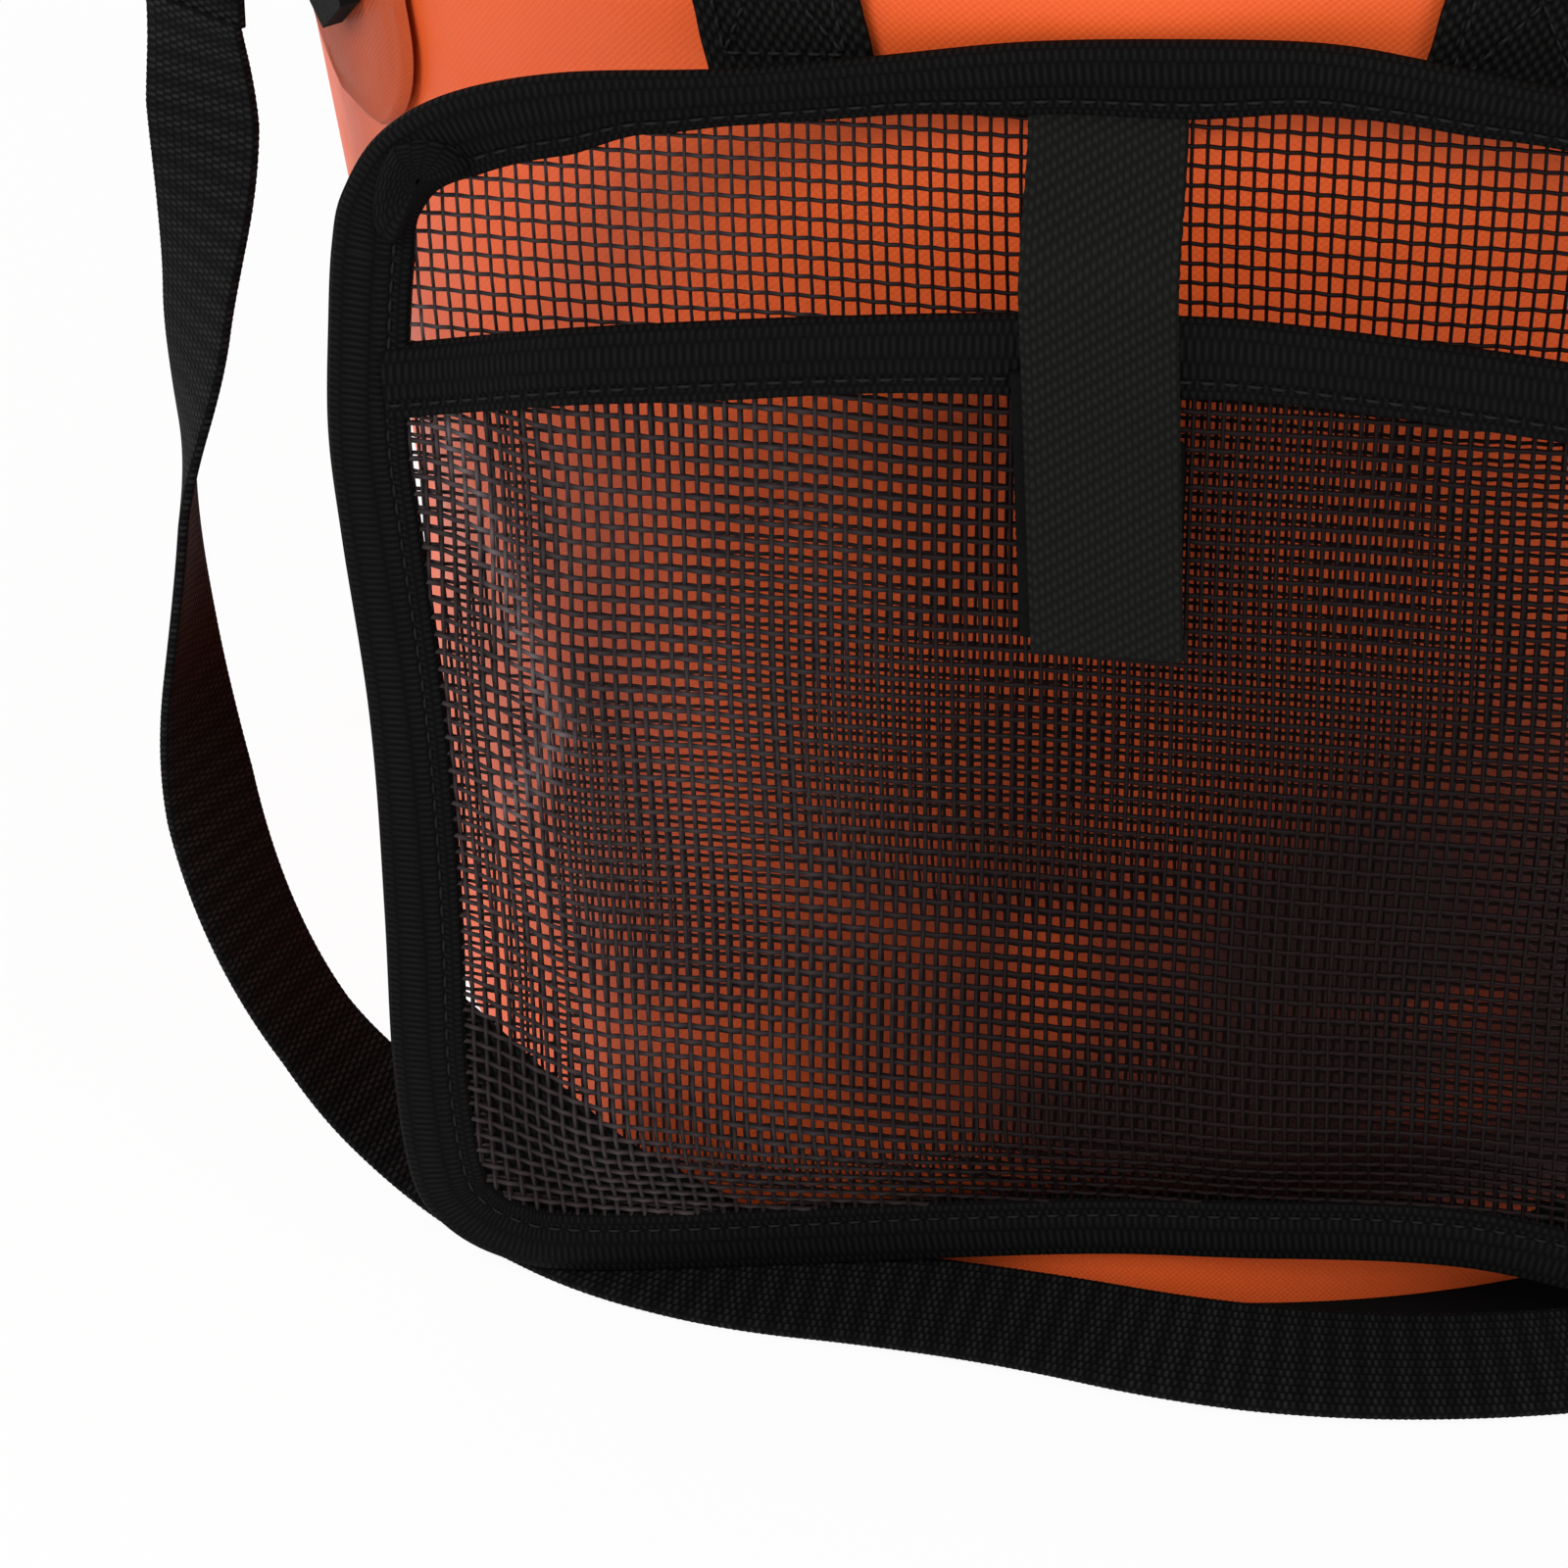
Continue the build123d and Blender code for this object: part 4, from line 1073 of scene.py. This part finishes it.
def tab_stations(path, shift, rise):
    """Stations of a layer of the closure tab, moved across and out."""
    centres = [pocket_foot + pocket_right * (p.x + shift) + pocket_up * p.y + pocket_out * (p.z + rise)
               for p in path]
    return [(centre, pocket_right, tangent_at(centres, i).cross(pocket_right).normalized())
            for i, centre in enumerate(centres)]


closure = tape("closure_tape", tab_stations(tab_path, 0.0, 0.0), closure_width, closure_thickness, twill,
               body="closure_tab")
closure.visible_shadow = False
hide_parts("closure_tab")
pile = tape("closure_pile", tab_stations(tab_path[52:-2], -1.6, -1.45), closure_width, closure_thickness,
            fastener_pile, body="closure_tab")
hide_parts("closure_hook_tape")
dress("closure_loop_tape", fastener_pile)

# ---- studio ----
def direct_rays(tree):
    """1 for the camera's own rays and for glossy ones, 0 for the light that falls on the bucket."""
    rays = tree.nodes.new("ShaderNodeLightPath")
    either = tree.nodes.new("ShaderNodeMath")
    either.operation = "MAXIMUM"
    tree.links.new(rays.outputs["Is Camera Ray"], either.inputs[0])
    tree.links.new(rays.outputs["Is Glossy Ray"], either.inputs[1])
    return either.outputs[0]


bpy.ops.mesh.primitive_plane_add(size=8.0, location=(0, 0, -0.0002))
floor = bpy.context.object
floor.name = "floor"
nodes = Nodes("studio_floor", grey(0.9), 0.9, gloss=0.0)
spot = nodes.new("TexCoord").outputs["Object"]
reach = nodes.new("VectorMath", operation="LENGTH")
nodes.put(reach.inputs[0], spot)
axes = nodes.new("SeparateXYZ")
nodes.put(axes.inputs[0], spot)
# painted shadow on the floor under the pocket, a soft contact shadow behind the bucket, and white elsewhere
under = nodes.math("MAXIMUM", nodes.fade(reach.outputs["Value"], 0.134, 0.141, "LINEAR"),
                   nodes.fade(axes.outputs["Y"], -0.100, -0.080))
contact = nodes.math("MAXIMUM", nodes.fade(reach.outputs["Value"], 0.112, 0.165),
                     nodes.math("SUBTRACT", 1.0, nodes.fade(axes.outputs["Y"], 0.02, 0.10)))
# the base colour is near black in the painted shadow under the pocket
nodes.put(nodes.shader.inputs["Base Color"], nodes.mix(under, grey(0.006), grey(0.9)))
seen = nodes.math("MULTIPLY", direct_rays(nodes.tree), 0.94)
glow = nodes.new("Emission")
glow.inputs["Strength"].default_value = 1.0
blend = nodes.new("MixShader")
nodes.put(blend.inputs["Fac"], nodes.math("MULTIPLY", seen, nodes.math("MULTIPLY", under, contact)))
nodes.put(blend.inputs[1], nodes.shader.outputs[0])
nodes.put(blend.inputs[2], glow.outputs[0])
nodes.put(nodes.tree.nodes["Material Output"].inputs["Surface"], blend.outputs[0])
floor.data.materials.append(nodes.material)

world = bpy.data.worlds.new("studio")
bpy.context.scene.world = world
world.use_nodes = True
sky = world.node_tree
sky.nodes["Background"].inputs["Color"].default_value = (1.0, 1.0, 1.0, 1.0)
strength = sky.nodes.new("ShaderNodeMapRange")
strength.inputs["To Min"].default_value = 0.55
strength.inputs["To Max"].default_value = 1.0
sky.links.new(direct_rays(sky), strength.inputs["Value"])
sky.links.new(strength.outputs[0], sky.nodes["Background"].inputs["Strength"])


def lamp(name, place, target, size, energy):
    """Soft square light aimed at a point."""
    light = bpy.data.lights.new(name, "AREA")
    light.size = size
    light.energy = energy
    obj = bpy.data.objects.new(name, light)
    bpy.context.scene.collection.objects.link(obj)
    obj.location = place
    obj.rotation_euler = (Vector(target) - Vector(place)).to_track_quat("-Z", "Y").to_euler()


lamp("key", (-0.7, -1.3, 1.3), (0, 0, 0.15), 0.7, 17.6)
lamp("fill", (1.1, -1.1, 0.7), (0, 0, 0.15), 0.9, 6.0)
lamp("edge", (-1.2, 0.1, 0.55), (0, 0, 0.15), 0.5, 2.2)

# ---- camera at the photograph's angle ----
view_azimuth = math.radians(9.6)
view_elevation = math.radians(30.0)
view_distance = 883.0
aim_right = -68.8
aim_height = 20.5
photo_width = 1600
scale_at_aim = 6.075  # pixels per millimetre
right = Vector((math.cos(view_azimuth), math.sin(view_azimuth), 0.0))
back = Vector((math.sin(view_azimuth) * math.cos(view_elevation),
               -math.cos(view_azimuth) * math.cos(view_elevation), math.sin(view_elevation)))
data = bpy.data.cameras.new("camera")
data.sensor_width = 36.0
data.lens = scale_at_aim * view_distance * data.sensor_width / photo_width
camera = bpy.data.objects.new("camera", data)
bpy.context.scene.collection.objects.link(camera)
camera.location = (right * aim_right + Vector((0, 0, aim_height)) + back * view_distance) * MM
camera.rotation_euler = (-back).to_track_quat("-Z", "Y").to_euler()
bpy.context.scene.camera = camera
bpy.context.scene.view_settings.view_transform = "Standard"
